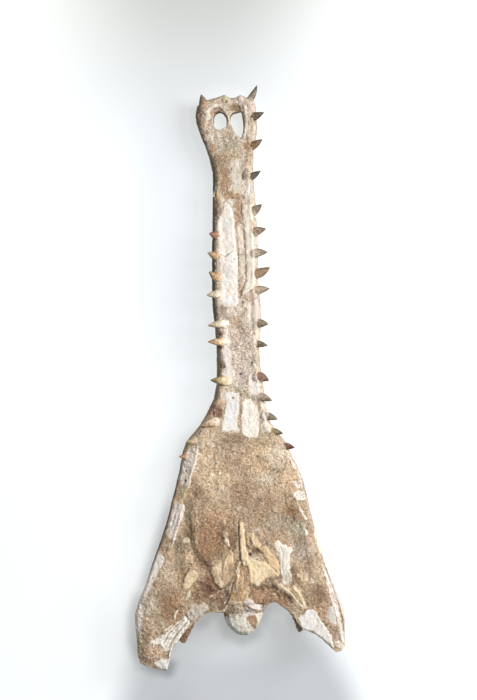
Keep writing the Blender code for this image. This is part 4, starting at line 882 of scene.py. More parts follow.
def drop_specks(obj, fewest):
    """Deletes the loose closed shells that the remesh leaves, where they have too few points."""
    bm = bmesh.new()
    bm.from_mesh(obj.data)
    waiting = set(bm.verts)
    specks = []
    while waiting:
        reached = [waiting.pop()]
        island = []
        while reached:
            point = reached.pop()
            island.append(point)
            beside = {edge.other_vert(point) for edge in point.link_edges} & waiting
            waiting -= beside
            reached.extend(beside)
        if len(island) < fewest:
            specks.extend(island)
    bmesh.ops.delete(bm, geom=specks, context="VERTS")
    bm.to_mesh(obj.data)
    bm.free()


def keep_inside_cad(points):
    low = np.array(CAD_LOW) * 1000.0 + CAD_MARGIN
    high = np.array(CAD_HIGH) * 1000.0 - CAD_MARGIN
    return np.clip(points, low, high)


def split_at(obj, axis_point, axis_normal, name):
    """Parts an object along a plane into two closed pieces, and returns the far one."""
    other = obj.copy()
    other.data = obj.data.copy()
    other.name = name
    bpy.context.scene.collection.objects.link(other)
    for piece, inner in ((obj, True), (other, False)):
        activate(piece)
        bpy.ops.object.mode_set(mode="EDIT")
        bpy.ops.mesh.select_all(action="SELECT")
        bpy.ops.mesh.bisect(
            plane_co=axis_point, plane_no=axis_normal, use_fill=True,
            clear_inner=inner, clear_outer=not inner, threshold=1e-7)
        bpy.ops.mesh.mark_sharp()
        bpy.ops.object.mode_set(mode="OBJECT")
    return other


def finish_piece(obj, material, nodes=()):
    obj.data.materials.clear()
    obj.data.materials.append(material)
    obj.data.shade_smooth()
    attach(obj, "root")
    if nodes:
        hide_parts(*nodes)


# ---------------------------------------------------------------- surface detail on the skin
def tint(colours, share, tone):
    """Draws each colour towards a tone by its share."""
    colours += share[:, None] * (np.array(linear(tone)) - colours)


class Surface:
    """The skin's points in the reference view, and what is worked out for each of them."""

    def __init__(self, mesh):
        self.mesh = mesh
        self.points, self.normals = vertex_array(mesh), normal_array(mesh)
        self.u, self.v = view_point(*self.points.T)
        count = len(self.points)
        self.below = palate_height(self.points[:, 1]) - self.points[:, 2]
        self.wobble = 0.9 * grain(self.points, 16.0, 3) + 0.7 * grain(self.points, 6.5, 4)
        self.crumble = 0.8 * grain(self.points, 12.0, 6) + 0.5 * grain(self.points, 5.0, 7)
        self.height = np.zeros(count)
        self.edge = np.full(count, FAR_OUTSIDE)
        self.dark = np.zeros(count)
        self.mottle = np.zeros(count)
        self.crust = np.full(count, CRUST)
        self.ground = np.tile(np.array(linear(GROUND_TONE)), (count, 1))
        self.bone = self.ground.copy()

    def oval_share(self, oval, core, rim, ragged):
        """1 within the core of an oval, and a ragged fade to 0 at its rim."""
        return 1.0 - ease(core, rim, oval_reach(self.u, self.v, oval) + ragged * self.wobble)

    def spot(self, oval, ragged):
        """The points about an oval, and how far inside it each lies, in mm."""
        x, y, half_width, half_height = oval
        corners = [(x - half_width, y - half_height), (x + half_width, y + half_height)]
        at = near(self.u, self.v, corners, 4)
        reach = oval_reach(self.u[at], self.v[at], oval)
        return at, (1.0 - reach) * min(half_width, half_height) * PIXEL + ragged * self.wobble[at]

    def stroke(self, path, width, ragged, margin):
        """The points about a path, and how far inside its width each lies, in mm."""
        at = near(self.u, self.v, path, margin)
        away = path_distance(self.u[at], self.v[at], path)
        return at, (width / 2 - away) * PIXEL + ragged * self.wobble[at]

    def area(self, outline, ragged=0.0):
        """The points about an outline, and how far inside it each lies, in mm."""
        at = near(self.u, self.v, outline, 6)
        return at, outline_depth(self.u[at], self.v[at], outline) * PIXEL + ragged * self.wobble[at]

    def add_tones(self):
        for *oval, tone, strength, crust in TONES:
            share = strength * self.oval_share(oval, 0.45, 1.25, 0.14)
            tint(self.ground, share, tone)
            self.crust += share * (crust - self.crust)
        self.bone = self.ground.copy()

    def add_bone(self, at, depth, rise, tone, rough=0.6):
        """Raises a patch and notes its colour, where it lies further in than any other."""
        self.height[at] += rise
        closer = depth > self.edge[at]
        self.edge[at] = np.where(closer, depth, self.edge[at])
        painted = at[(closer & (depth > -3.0)) | (depth > 0.0)]
        self.bone[painted] = linear(tone)
        self.mottle[painted] = min(1.0, rough / 1.2)

    def add_patches(self):
        for tone, rise, slope, ragged, rough, outline in PATCHES.values():
            at, depth = self.area(outline, ragged)
            raised = ease(-0.3, slope, depth) * (rise + rough * self.crumble[at])
            self.add_bone(at, depth, raised, tone, rough)

    def add_lines(self):
        for width, rise, tone, path in LINES:
            at, depth = self.stroke(path, width, 0.4, 4)
            self.add_bone(at, depth, rise * ease(-0.6, 0.8, depth), tone)

    def add_bone_tones(self):
        for *oval, tone, strength in BONE_TONES:
            tint(self.bone, strength * self.oval_share(oval, 0.4, 1.2, 0.14), tone)

    def add_stubs(self):
        for *oval, rise, tone in STUBS:
            at, depth = self.spot(oval, 0.6)
            self.height[at] += rise * ease(-0.4, 2.4, depth)
            inside = at[depth > -0.5]
            self.bone[inside] = linear(tone)
            self.mottle[inside] = 0.4
            self.edge[inside] = np.maximum(self.edge[inside], depth[depth > -0.5] + 0.8)

    def add_cracks(self):
        for width, deep, strength, path in CRACKS.values():
            at, depth = self.stroke(path, width, 0.45, 6)
            self.height[at] -= deep * ease(-1.2, 0.9, depth)
            broken = strength + (1.0 - strength) * ease(-0.5, 0.3, self.crumble[at])
            middle = max(0.7, 0.45 * width * PIXEL)
            self.dark[at] = np.maximum(self.dark[at], strength * broken * ease(-0.9, middle, depth))

    def add_pits(self):
        for *oval, deep, strength in PITS:
            at, depth = self.spot(oval, 0.35)
            self.height[at] -= deep * ease(-0.8, min(oval[2:]) * PIXEL * 0.7, depth)
            self.dark[at] = np.maximum(self.dark[at], strength * ease(-0.9, 1.2, depth))

    def add_swells(self):
        for *oval, rise in SWELLS:
            self.height += rise * self.oval_share(oval, 0.3, 1.15, 0.06)
        half_width, deep, path = GROOVE_LEFT
        at = near(self.u, self.v, path, 12)
        away = path_distance(self.u[at], self.v[at], path) / half_width
        self.height[at] -= deep * (1.0 - ease(0.2, 1.4, away + 0.1 * self.wobble[at]))

    def add_ridges(self):
        """The choanal septum, which stands highest, and the rims round the tooth sockets."""
        at, depth = self.area(PATCHES["septum"][5])
        self.height[at] += SEPTUM_RISE * ease(-1.0, 2.4, depth)
        for base_x, base_y, *_ in TEETH.values():
            at = near(self.u, self.v, [(base_x, base_y)], 8)
            away = np.hypot(self.u[at] - base_x, self.v[at] - base_y)
            self.height[at] += SOCKET_RISE * (1.0 - ease(1.5, 6.5, away))

    def shape(self, grain_mm):
        """Moves the skin by the named detail and by the grain of matrix and bone: waves 26, 9 and
        4 mm apart, pits 7.5 mm apart and crumbs 6 mm apart, all weaker on bone."""
        sandy = 1.0 - 0.65 * ease(-0.5, 1.0, self.edge)
        up = ease(0.25, 0.75, self.normals[:, 2]) * (1.0 - ease(22.0, 30.0, self.below))
        bumps = grain_mm * sandy * (
            1.0 * grain(self.points, 26.0, 1) + 0.9 * grain(self.points, 9.0, 2)
            + 0.5 * grain(self.points, 4.0, 5, 1)
            - 1.3 * crumbs(self.points, 7.5, 0.35, 11) + 1.0 * crumbs(self.points, 6.0, 0.3, 31))
        moved = self.points + self.normals * (bumps * (0.45 + 0.55 * up))[:, None]
        moved[:, 2] += self.height * up
        return keep_inside_cad(moved)

    def write(self, moved):
        """Works out what the materials read: the palate's detail shows where the skin faces up, the
        walls beside it are plain, dark on the left by painted shade and pale on the right by painted
        light, and hollows get painted shade."""
        facing, upward = self.normals[:, 0], self.normals[:, 2]
        off_holes = ease(0.8, 1.1, oval_reach(self.u, self.v, TIP_HOLES))
        condyle = oval_reach(self.u, self.v, CONDYLE)
        shown = (1.0 - ease(9.0, 16.0, self.below)) * ease(-0.5, 0.1, upward)
        shown = np.maximum(shown, 1.0 - ease(1.0, 1.25, condyle))
        # Where the painted shade and most of the wall tone are left off: the rear left lobe and the
        # condyle.
        lobe = ease(*LIT_ROWS, self.v) * (self.u < LIT_COLUMN)
        lit = np.maximum(lobe, 1.0 - ease(0.9, 1.2, condyle))
        left_wall_shade = rows_at(LEFT_WALL_SHADE, self.v)[0]
        steep = 1.0 - ease(0.1 + 0.2 * ease(0.1, -0.4, facing), 0.85, upward)
        # The wall tone: the stained outer walls, with painted shade as well, since it is kept off walls
        # facing right and follows the left wall's painted shade.
        wall_and_shade = np.maximum(steep, ease(20.0, 34.0, self.below))
        wall_and_shade *= 1.0 - 0.7 * ease(0.1, 0.5, facing)
        wall_and_shade *= off_holes * (1.0 - 0.8 * lit)
        wall_and_shade *= 1.0 - 0.6 * (1.0 - left_wall_shade) * ease(0.0, 0.4, -facing)
        # Painted light: walls facing right are tinted pale.
        right_light = WALL_RIGHT_LIGHT * ease(0.15, 0.6, facing) * ease(1.5, 6.0, self.below) * off_holes
        right_light *= (self.points[:, 0] > 0) * ease(*RIGHT_LIGHT_ROWS, self.v)
        tint(self.ground, right_light, RIGHT_LIGHT_TONE)
        # Painted shade on the left-facing wall, which goes into Dark.
        shade = WALL_SHADE * left_wall_shade * ease(0.55, 0.95, -facing) * ease(1.0, 5.0, self.below)
        shade *= off_holes
        shade *= 1.0 - lit
        # Painted light on the upper edge of the left-facing wall, against the shade that falls there.
        lift = ease(0.12, 0.35, -facing) * ease(0.95, 0.6, -facing) * ease(1.0, 4.0, self.below)
        lift *= WALL_EDGE_LIGHT * off_holes
        rear = 1.0 - ease(0.7, 1.1, oval_reach(self.u, self.v, REAR))
        flecks = FLECK_SHADE * rear * ease(0.3, 0.75, -self.crumble) * (self.edge < 0.0)
        self.ground *= (1.0 + lift)[:, None]
        self.ground *= (1.0 + FLECK_LIGHT * rear * ease(0.35, 0.8, self.crumble))[:, None]
        self.bone *= (1.0 + lift)[:, None]
        # Painted shade in fine hollows and broad basins, and painted highlight on ridges: how far the
        # surface lies from its blurred copy.
        hollow = np.sum((blurred(self.mesh, moved, FINE_BLUR) - moved) * self.normals, axis=1)
        basin = np.sum((blurred(self.mesh, moved, BROAD_BLUR) - moved) * self.normals, axis=1)
        point_value(self.mesh, "Bone edge", self.edge * shown - 6.0 * (1.0 - shown))
        # Dark holds the cracks, pits and flecks, and the painted shade of the left wall.
        point_value(self.mesh, "Dark", np.maximum(np.maximum(self.dark, flecks) * shown, shade))
        point_value(self.mesh, "Hollow", 2.2 * hollow + 0.5 * basin * shown)
        point_value(self.mesh, "Crust", self.crust)
        point_value(self.mesh, "Wall", wall_and_shade)
        point_value(self.mesh, "Mottle", self.mottle)
        point_colour(self.mesh, "Ground", self.ground)
        point_colour(self.mesh, "Bone", self.bone)


def detail_skin(mesh, sizes):
    """Raises and cuts the named details into the skin, and writes the colours they carry."""
    surface = Surface(mesh)
    surface.add_tones()
    surface.add_swells()
    surface.add_ridges()
    surface.add_patches()
    surface.add_lines()
    surface.add_bone_tones()
    surface.add_stubs()
    surface.add_cracks()
    surface.add_pits()
    moved = surface.shape(sizes.grain_depth_mm)
    set_vertices(mesh, moved)
    surface.write(moved)


# ---------------------------------------------------------------- materials
def new_material(name):
    material = bpy.data.materials.new(name)
    material.use_nodes = True
    material.node_tree.nodes.clear()
    return material


def add_node(tree, kind, settings=None, **links):
    """Adds a node, sets its properties and feeds its inputs from values or other sockets."""
    node = tree.nodes.new(kind)
    for key, value in (settings or {}).items():
        setattr(node, key, value)
    for key, value in links.items():
        number = key[1:] if key.startswith("_") else ""
        socket = node.inputs[int(number)] if number else node.inputs[key.replace("_", " ")]
        if isinstance(value, bpy.types.NodeSocket):
            tree.links.new(value, socket)
        else:
            socket.default_value = value
    return node


def mixed(tree, share, first, second):
    """Colour between first and second; both may be sockets or linear colours."""
    first, second = (c if isinstance(c, bpy.types.NodeSocket) else (*c, 1.0) for c in (first, second))
    return add_node(
        tree, "ShaderNodeMix", {"data_type": "RGBA"}, _0=share, _6=first, _7=second).outputs[2]


def ranged(tree, value, low, high, out_low=0.0, out_high=1.0, smooth=True):
    settings = {"interpolation_type": "SMOOTHSTEP" if smooth else "LINEAR"}
    node = add_node(tree, "ShaderNodeMapRange", settings, Value=value, From_Min=low, From_Max=high,
                    To_Min=out_low, To_Max=out_high)
    return node.outputs["Result"]


def maths(tree, operation, first, second):
    return add_node(tree, "ShaderNodeMath", {"operation": operation}, _0=first, _1=second).outputs[0]


def vector_maths(tree, operation, first, second):
    return add_node(
        tree, "ShaderNodeVectorMath", {"operation": operation}, _0=first, _1=second).outputs[0]


def read(tree, name, output="Fac"):
    return add_node(tree, "ShaderNodeAttribute", {"attribute_name": name}).outputs[output]


def object_place(tree, stretch=(1.0, 1.0, 1.0)):
    """Position on the piece, with an axis squeezed to draw patterns out along it."""
    return vector_maths(tree, "MULTIPLY", tree.nodes.new("ShaderNodeTexCoord").outputs["Object"], stretch)


def noise_mm(tree, size_mm, seed, detail=3.0, roughness=0.6, where=None, distortion=0.0):
    """Noise with crests about `size_mm` apart, on the piece's own coordinates."""
    settings = {"noise_dimensions": "4D"}
    node = add_node(tree, "ShaderNodeTexNoise", settings, Vector=where or object_place(tree),
                    W=seed * 3.1, Scale=1000.0 / size_mm, Detail=detail, Roughness=roughness,
                    Distortion=distortion)
    return node.outputs["Fac"]


def dots_mm(tree, size_mm, radius_mm, share):
    """Small round dots, about `size_mm` apart, with only a share of them kept."""
    node = add_node(tree, "ShaderNodeTexVoronoi", {}, Vector=object_place(tree), Scale=1000.0 / size_mm)
    reach = radius_mm / size_mm
    dot = ranged(tree, node.outputs["Distance"], reach * 1.3, reach * 0.6)
    chance = add_node(tree, "ShaderNodeSeparateColor", {}, Color=node.outputs["Color"]).outputs[0]
    return maths(tree, "MULTIPLY", dot, maths(tree, "LESS_THAN", chance, share))


def scaled(tree, colour, *factors):
    """A colour made lighter or darker by each of the factors."""
    for factor in factors:
        node = add_node(tree, "ShaderNodeVectorMath", {"operation": "SCALE"}, _0=colour, Scale=factor)
        colour = node.outputs[0]
    return colour


def surface_output(tree, colour, roughness, bumps, glow=None):
    """Ends a material in a Principled shader with bumps, (height socket, depth in mm) pairs, and
    with a glow, its colour and strength."""
    normal = None
    for height, depth in bumps:
        bump = add_node(tree, "ShaderNodeBump", {}, Strength=1.0, Distance=depth / 1000.0, Height=height)
        if normal:
            tree.links.new(normal, bump.inputs["Normal"])
        normal = bump.outputs["Normal"]
    shader = add_node(tree, "ShaderNodeBsdfPrincipled", {}, Base_Color=colour, Roughness=roughness)
    shader.inputs["Specular IOR Level"].default_value = 0.3
    if normal:
        tree.links.new(normal, shader.inputs["Normal"])
    if glow:
        for value, name in zip(glow, ("Emission Color", "Emission Strength")):
            tree.links.new(value, shader.inputs[name])
    out = tree.nodes.new("ShaderNodeOutputMaterial")
    tree.links.new(shader.outputs[0], out.inputs["Surface"])


def matrix_colour(tree, colours):
    """Sandstone: zones of tan and brown, cloudy at 34 and 11 mm, gritty at 3 mm, with a pale
    crust of crushed bone that breaks up into islands."""
    base = read(tree, "Ground", "Color")
    cloud = noise_mm(tree, 34.0, 1, 4.0, 0.6)
    mottle = noise_mm(tree, 11.0, 2, 5.0, 0.68)
    grit = noise_mm(tree, 2.9, 3, 3.0, 0.7)
    tone = scaled(tree, base, ranged(tree, cloud, 0.32, 0.68, 0.88, 1.1),
                  ranged(tree, mottle, 0.34, 0.66, 0.87, 1.11), ranged(tree, grit, 0.34, 0.66, 0.67, 1.3))
    tone = scaled(tree, tone, ranged(tree, noise_mm(tree, 2.1, 9, 2.0), 0.34, 0.66, 0.68, 1.3))
    warm = ranged(tree, noise_mm(tree, 17.0, 4, 4.0, 0.6), 0.5, 0.66, 0.0, 0.35)
    tone = mixed(tree, warm, tone, colours.stain)
    level = maths(tree, "MULTIPLY", read(tree, "Crust"), 0.3)
    spread = maths(tree, "ADD", noise_mm(tree, 9.0, 5, 6.0, 0.7, None, 1.2), level)
    crust = scaled(tree, mixed(tree, 0.62, base, colours.chalk_and_highlight), ranged(tree, grit, 0.3, 0.7, 0.86, 1.06))
    tone = mixed(tree, ranged(tree, spread, 0.63, 0.72, 0.0, 0.85), tone, crust)
    tone = mixed(tree, maths(tree, "MULTIPLY", dots_mm(tree, 7.0, 0.9, 0.2), 0.6), tone, colours.chalk_and_highlight)
    tone = mixed(tree, maths(tree, "MULTIPLY", dots_mm(tree, 11.0, 0.8, 0.2), 0.6), tone, colours.pit_and_shade)
    return tone, mottle, grit


def bone_colour(tree, colours, grit):
    """Old bone: streaked along the skull, clouded with tan stain and dotted with fine pits, and
    mottled brown and white where it is porous."""
    base = read(tree, "Bone", "Color")
    streak = noise_mm(tree, 3.5, 6, 4.0, 0.6, object_place(tree, (1.0, 0.16, 1.0)))
    tone = scaled(tree, base, ranged(tree, streak, 0.4, 0.62, 0.96, 1.05),
                  ranged(tree, grit, 0.32, 0.68, 0.9, 1.07))
    tone = mixed(tree, ranged(tree, streak, 0.48, 0.3, 0.0, 0.34), tone, colours.bone_stain)
    stain = noise_mm(tree, 15.0, 7, 5.0, 0.66)
    tone = mixed(tree, ranged(tree, stain, 0.5, 0.68, 0.0, 0.3), tone, colours.bone_stain)
    uneven = read(tree, "Mottle")
    fibres = object_place(tree, (1.0, 0.5, 1.0))
    fine = ranged(tree, noise_mm(tree, 2.4, 22, 2.0, 0.6, fibres), 0.35, 0.65, 0.76, 1.2)
    tone = mixed(tree, uneven, tone, scaled(tree, tone, fine))
    brown = ranged(tree, noise_mm(tree, 5.6, 16, 5.0, 0.68, fibres, 1.0), 0.5, 0.64, 0.0, 0.85)
    tone = mixed(tree, maths(tree, "MULTIPLY", uneven, brown), tone, colours.bone_shade)
    bright = ranged(tree, noise_mm(tree, 4.2, 17, 5.0, 0.7, fibres, 0.8), 0.5, 0.64, 0.0, 0.8)
    tone = mixed(tree, maths(tree, "MULTIPLY", uneven, bright), tone, colours.chalk_and_highlight)
    tone = mixed(tree, maths(tree, "MULTIPLY", dots_mm(tree, 8.0, 0.65, 0.14), 0.5), tone, colours.pit_and_shade)
    return tone, streak


def fossil_material(colours):
    """Fossil bone in sandstone matrix, scraped clean by hand: dry, chalky and rough."""
    material = new_material("phosphate sandstone with bone")
    tree = material.node_tree
    ground, mottle, grit = matrix_colour(tree, colours)
    bone, streak = bone_colour(tree, colours, grit)
    fray = noise_mm(tree, 7.0, 8, 5.0, 0.72)
    frayed = maths(tree, "ADD", read(tree, "Bone edge"), ranged(tree, fray, 0.25, 0.75, -2.4, 2.4, False))
    bone = mixed(tree, ranged(tree, frayed, 2.0, 0.2, 0.0, 0.3), bone, colours.bone_stain)
    is_bone = ranged(tree, frayed, -0.2, 0.5)
    tone = mixed(tree, is_bone, ground, bone)
    hollow = read(tree, "Hollow")
    # Painted highlight on ridges in the chalk tone, and painted shade in hollows in the pit tone.
    tone = mixed(tree, ranged(tree, hollow, -0.3, -1.6, 0.0, 0.16), tone, colours.chalk_and_highlight)
    tone = mixed(tree, ranged(tree, hollow, 0.2, 2.1, 0.0, 0.4), tone, colours.pit_and_shade)
    # The stained wall tone, which also carries painted shade on the left.
    wall_and_shade = mixed(tree, ranged(tree, mottle, 0.35, 0.65), colours.wall_dark, colours.wall_light)
    wall_and_shade = scaled(tree, wall_and_shade, ranged(tree, grit, 0.3, 0.7, 0.85, 1.12))
    tone = mixed(tree, maths(tree, "MULTIPLY", read(tree, "Wall"), 0.85), tone, wall_and_shade)
    # Dark: cracks, pits and flecks, with the painted shade of the left wall and of the shadow strokes.
    tone = mixed(tree, read(tree, "Dark"), tone, colours.pit_and_shade)
    rough = ranged(tree, is_bone, 0.0, 1.0, 0.95, 0.78)
    surface_output(tree, tone, rough, [(grit, 0.9), (mottle, 1.6), (streak, 0.3)])
    return material


def roof_material(colours):
    """Weathered outer bone of the skull roof, pitted and stained brown by the sediment."""
    material = new_material("weathered skull bone")
    tree = material.node_tree
    pits = noise_mm(tree, 5.0, 11, 4.0, 0.66)
    cloud = noise_mm(tree, 24.0, 12, 4.0, 0.6)
    tone = mixed(tree, ranged(tree, pits, 0.35, 0.65), colours.wall_dark, colours.wall_light)
    tone = mixed(tree, ranged(tree, cloud, 0.48, 0.62, 0.0, 0.6), tone, colours.chalk_and_highlight)
    tone = mixed(tree, maths(tree, "MULTIPLY", dots_mm(tree, 8.0, 1.1, 0.35), 0.7), tone, colours.pit_and_shade)
    surface_output(tree, tone, 0.88, [(pits, 1.4), (cloud, 2.0)])
    return material


def tooth_material():
    """Fossil enamel: harder and a little glossier than the bone, blotched and finely ridged,
    each tooth stained its own tone."""
    material = new_material("fossil tooth enamel")
    tree = material.node_tree
    blotch = noise_mm(tree, 5.0, 13, 4.0, 0.65)
    base = read(tree, "Enamel and side shade", "Color")
    speck = noise_mm(tree, 2.4, 14, 3.0, 0.7)
    tone = scaled(tree, base, ranged(tree, blotch, 0.32, 0.68, 0.76, 1.5),
                  ranged(tree, speck, 0.35, 0.65, 0.8, 1.18))
    worn = ranged(tree, noise_mm(tree, 4.0, 19, 4.0, 0.65), 0.56, 0.7, 0.0, 0.5)
    tone = mixed(tree, worn, tone, linear(ENAMEL_BLOTCH))
    surface_output(tree, tone, 0.5, [(blotch, 0.7), (speck, 0.3)])
    return material


def rod_material(dark, light):
    """Broken bone stained dark brown, below the level that the matrix was cleaned to."""
    material = new_material("iron-stained broken bone")
    tree = material.node_tree
    blotch = noise_mm(tree, 6.0, 15, 4.0, 0.66)
    tone = mixed(tree, ranged(tree, blotch, 0.35, 0.65), linear(dark), linear(light))
    surface_output(tree, tone, 0.85, [(blotch, 1.0)])
    return material


def soft_spot(tree, where, centre, half_size, inner):
    """1 in the middle of an oval on the paper, fading smoothly from inner to 0 at its rim."""
    offset = vector_maths(tree, "SUBTRACT", where, (*centre, 0.0))
    reach = vector_maths(tree, "DIVIDE", offset, (*half_size, 1.0))
    length = add_node(tree, "ShaderNodeVectorMath", {"operation": "LENGTH"}, _0=reach).outputs["Value"]
    return ranged(tree, length, 1.0, inner)


def paper_sheet():
    """A wide flat sheet, finely divided near the skull, that holds the shade beside it."""
    bpy.ops.mesh.primitive_grid_add(
        x_subdivisions=SHEET_CELLS[0], y_subdivisions=SHEET_CELLS[1], size=2.0, location=(0, 0, 0))
    paper = bpy.context.object
    paper.name = "paper"
    points = vertex_array(paper.data) / 1000.0
    for axis, middle in enumerate(SHEET_MIDDLE):
        share = points[:, axis]
        points[:, axis] = np.where(np.abs(share) > 0.999, np.sign(share) * SHEET_HALF, share * middle)
    set_vertices(paper.data, points)
    u, v = view_point(*points.T)
    deep = np.zeros(len(points))
    for *oval, strength in PAPER_SHADE:
        deep = np.maximum(deep, strength * (1.0 - ease(0.5, 1.3, oval_reach(u, v, oval))))
    beside = ease(-SHADE_REACH, 0.5, outline_depth(u, v, SKULL_OUTLINE))
    point_value(paper.data, "Shade", deep * beside)
    return paper


def paper_material(colours):
    """Matt paper that glows on its own as painted light. It is white, and greyer towards the viewer's
    side and the far end and under and beside the skull, by painted shade on both its colour and glow."""
    material = new_material("glowing seamless paper")
    tree = material.node_tree
    where = object_place(tree)
    level = 1.0
    for *spot, strength in PAPER_SPOTS:
        taken = maths(tree, "MULTIPLY", soft_spot(tree, where, *spot), strength)
        level = maths(tree, "SUBTRACT", level, taken)
    level = maths(tree, "SUBTRACT", level, read(tree, "Shade"))
    lit = soft_spot(tree, where, *PAPER_LIT)
    level = maths(tree, "MULTIPLY", level, ranged(tree, lit, 0.0, 1.0, PAPER_OUTSIDE, 1.0))
    fibre = ranged(tree, noise_mm(tree, 2.0, 21, 2.0), 0.3, 0.7, 0.985, 1.015)
    sheet = add_node(tree, "ShaderNodeRGB").outputs[0]
    sheet.default_value = (*colours.paper, 1.0)
    glow = mixed(tree, soft_spot(tree, where, *PAPER_FAR), PAPER_COOL, PAPER_WARM)
    surface_output(tree, scaled(tree, sheet, level, fibre), 0.95, [],
                   (glow, maths(tree, "MULTIPLY", level, PAPER_GLOW)))
    return material


# ---------------------------------------------------------------- teeth and rods
def tooth_master():
    """One tooth, a unit long along +Z: a cone from the menu, cut into rings."""
    clear_selection()
    bpy.ops.mesh.primitive_cone_add(
        vertices=20, radius1=CONE_BASE, radius2=CONE_TIP, depth=1.0, end_fill_type="NGON",
        location=(0, 0, 0.5))
    obj = bpy.context.object
    obj.name = "tooth_master"
    bpy.ops.object.mode_set(mode="EDIT")
    for ring in range(1, TOOTH_RINGS):
        bpy.ops.mesh.select_all(action="SELECT")
        bpy.ops.mesh.bisect(plane_co=(0, 0, ring / TOOTH_RINGS), plane_no=(0, 0, 1))
    bpy.ops.object.mode_set(mode="OBJECT")
    bpy.ops.object.transform_apply(location=True, rotation=True, scale=True)
    return obj


def own_copy(master, name):
    obj = master.copy()
    obj.data = master.data.copy()
    obj.name = name
    bpy.context.scene.collection.objects.link(obj)
    return obj


def place_tooth(master, name, row, number, rise_mm):
    """A copy of the master tooth from its base to its tip, with its own bend and colours."""
    base_x, base_y, tip_x, tip_y, width, bend, root, crown, point = row
    high = float(palate_height(table_point(base_x, base_y, ROUGH_HEIGHT)[1])) - TOOTH_SUNK
    high += TOOTH_LIFT.get(name, 0.0)
    base = np.array((*table_point(base_x, base_y, high), high))
    tip = np.array((*table_point(tip_x, tip_y, high + rise_mm), high + rise_mm))
    obj = own_copy(master, "tooth_" + name)
    length = float(np.linalg.norm(tip - base))
    along = (tip - base) / length
    across = np.cross((0, 0, 1), along)
    across /= np.linalg.norm(across)
    up = np.cross(along, across)
    points = vertex_array(obj.data) / 1000.0
    share = points[:, 2]
    cone = np.maximum(1e-4, CONE_BASE - (CONE_BASE - CONE_TIP) * share)
    profile = np.interp(share, *TOOTH_PROFILE)
    arch = np.sin(math.pi * np.clip(share, 0, 1))
    forward = 1.0 if across[1] >= 0 else -1.0
    side = points[:, 0] / cone * 0.5 * profile * width - forward * bend * arch * TOOTH_BEND
    lift = points[:, 1] / cone * 0.5 * profile * width * TOOTH_THICKNESS + TOOTH_ARCH * length * arch
    reach = share * (length + ROOT_DEPTH) - ROOT_DEPTH
    world = np.outer(side, across) + np.outer(lift, up) + np.outer(reach, along) + base
    lumps = grain(world, 6.0, 40 + number) * 0.5 * (1.05 - share)
    world += lumps[:, None] * up
    set_vertices(obj.data, keep_inside_cad(world))
    shades = np.array([linear(root), linear(crown), linear(point)])
    mark = share + 0.16 * grain(world, 5.0, 70 + number)
    tone = np.stack([np.interp(mark, [0.16, 0.4, 0.92], shades[:, n]) for n in range(3)], axis=1)
    # Painted shade: each tooth is darker along its two sides, where it rounds away from the light.
    edge = np.abs(points[:, 0] / cone)
    tone *= (1.0 - 0.5 * ease(0.55, 1.0, edge) * ease(0.1, 0.6, share))[:, None]
    point_colour(obj.data, "Enamel and side shade", tone)
    return obj


def place_rod(name, start, end, height_mm, width):
    """A short broken rod of bone from one pixel to another, from a primitive cylinder."""
    upper = height_mm + ROD_RISE
    first = Vector((*table_point(*start, upper), upper)) / 1000
    last = Vector((*table_point(*end, height_mm), height_mm)) / 1000
    clear_selection()
    bpy.ops.mesh.primitive_cylinder_add(
        vertices=24, radius=width / 2000, depth=(last - first).length, location=(first + last) / 2,
        rotation=(last - first).to_track_quat("Z", "Y").to_euler())
    obj = bpy.context.object
    obj.name = name
    bpy.ops.object.transform_apply(location=True, rotation=True, scale=True)
    remeshed(obj, *ROD_SKIN)
    points = vertex_array(obj.data)
    bumps = 0.7 * grain(points, 9.0, 51) + 0.5 * grain(points, 4.0, 52)
    set_vertices(obj.data, keep_inside_cad(points + normal_array(obj.data) * bumps[:, None]))
    return obj


# ---------------------------------------------------------------- settings
def length_setting(name, description, default, low, high):
    return bpy.props.FloatProperty(name=name, description=description, default=default, min=low, max=high)


def colour_setting(name, description, hex_colour):
    return bpy.props.FloatVectorProperty(
        name=name, description=description, subtype="COLOR", size=3, min=0.0, max=1.0,
        default=linear(hex_colour))


class SKULL_PG_sizes(bpy.types.PropertyGroup):
    voxel_mm: length_setting(
        "Skin spacing", "Distance between points of the skull's skin, in mm", 1.35, 1.0, 6.0)
    smooth_steps: bpy.props.IntProperty(
        name="Smoothing", description="Passes that soften the skin before detail is added",
        default=5, min=0, max=20)
    grain_depth_mm: length_setting(
        "Grain depth", "Height of the matrix's rough grain, in mm", 0.6, 0.0, 2.0)
    tooth_rise_mm: length_setting(
        "Tooth rise", "How far a tooth's tip stands above its base, in mm", 8.0, 0.0, 14.0)


class SKULL_PG_colours(bpy.types.PropertyGroup):
    stain: colour_setting("Stain", "Brown stain on the matrix", "946e4e")
    bone_stain: colour_setting("Bone stain", "Tan stain on bone", "c4a680")
    bone_shade: colour_setting("Bone shade", "Brown mottling of the golden bones", "96704a")
    # Chalk is also the painted highlight on ridges.
    chalk_and_highlight: colour_setting("Chalk", "Crushed white bone", "efe6d8")
    # Pit is also the painted shade on the left wall, in hollows and in the shadow strokes.
    pit_and_shade: colour_setting("Pit", "Pits, cracks and shaded slits", "4d3c2e")
    wall_light: colour_setting("Wall light", "Light tone of the skull's outer walls", "a8957e")
    wall_dark: colour_setting("Wall dark", "Dark tone of the skull's outer walls", "6e5b4a")
    paper: colour_setting("Paper", "The paper under the skull", "909498")


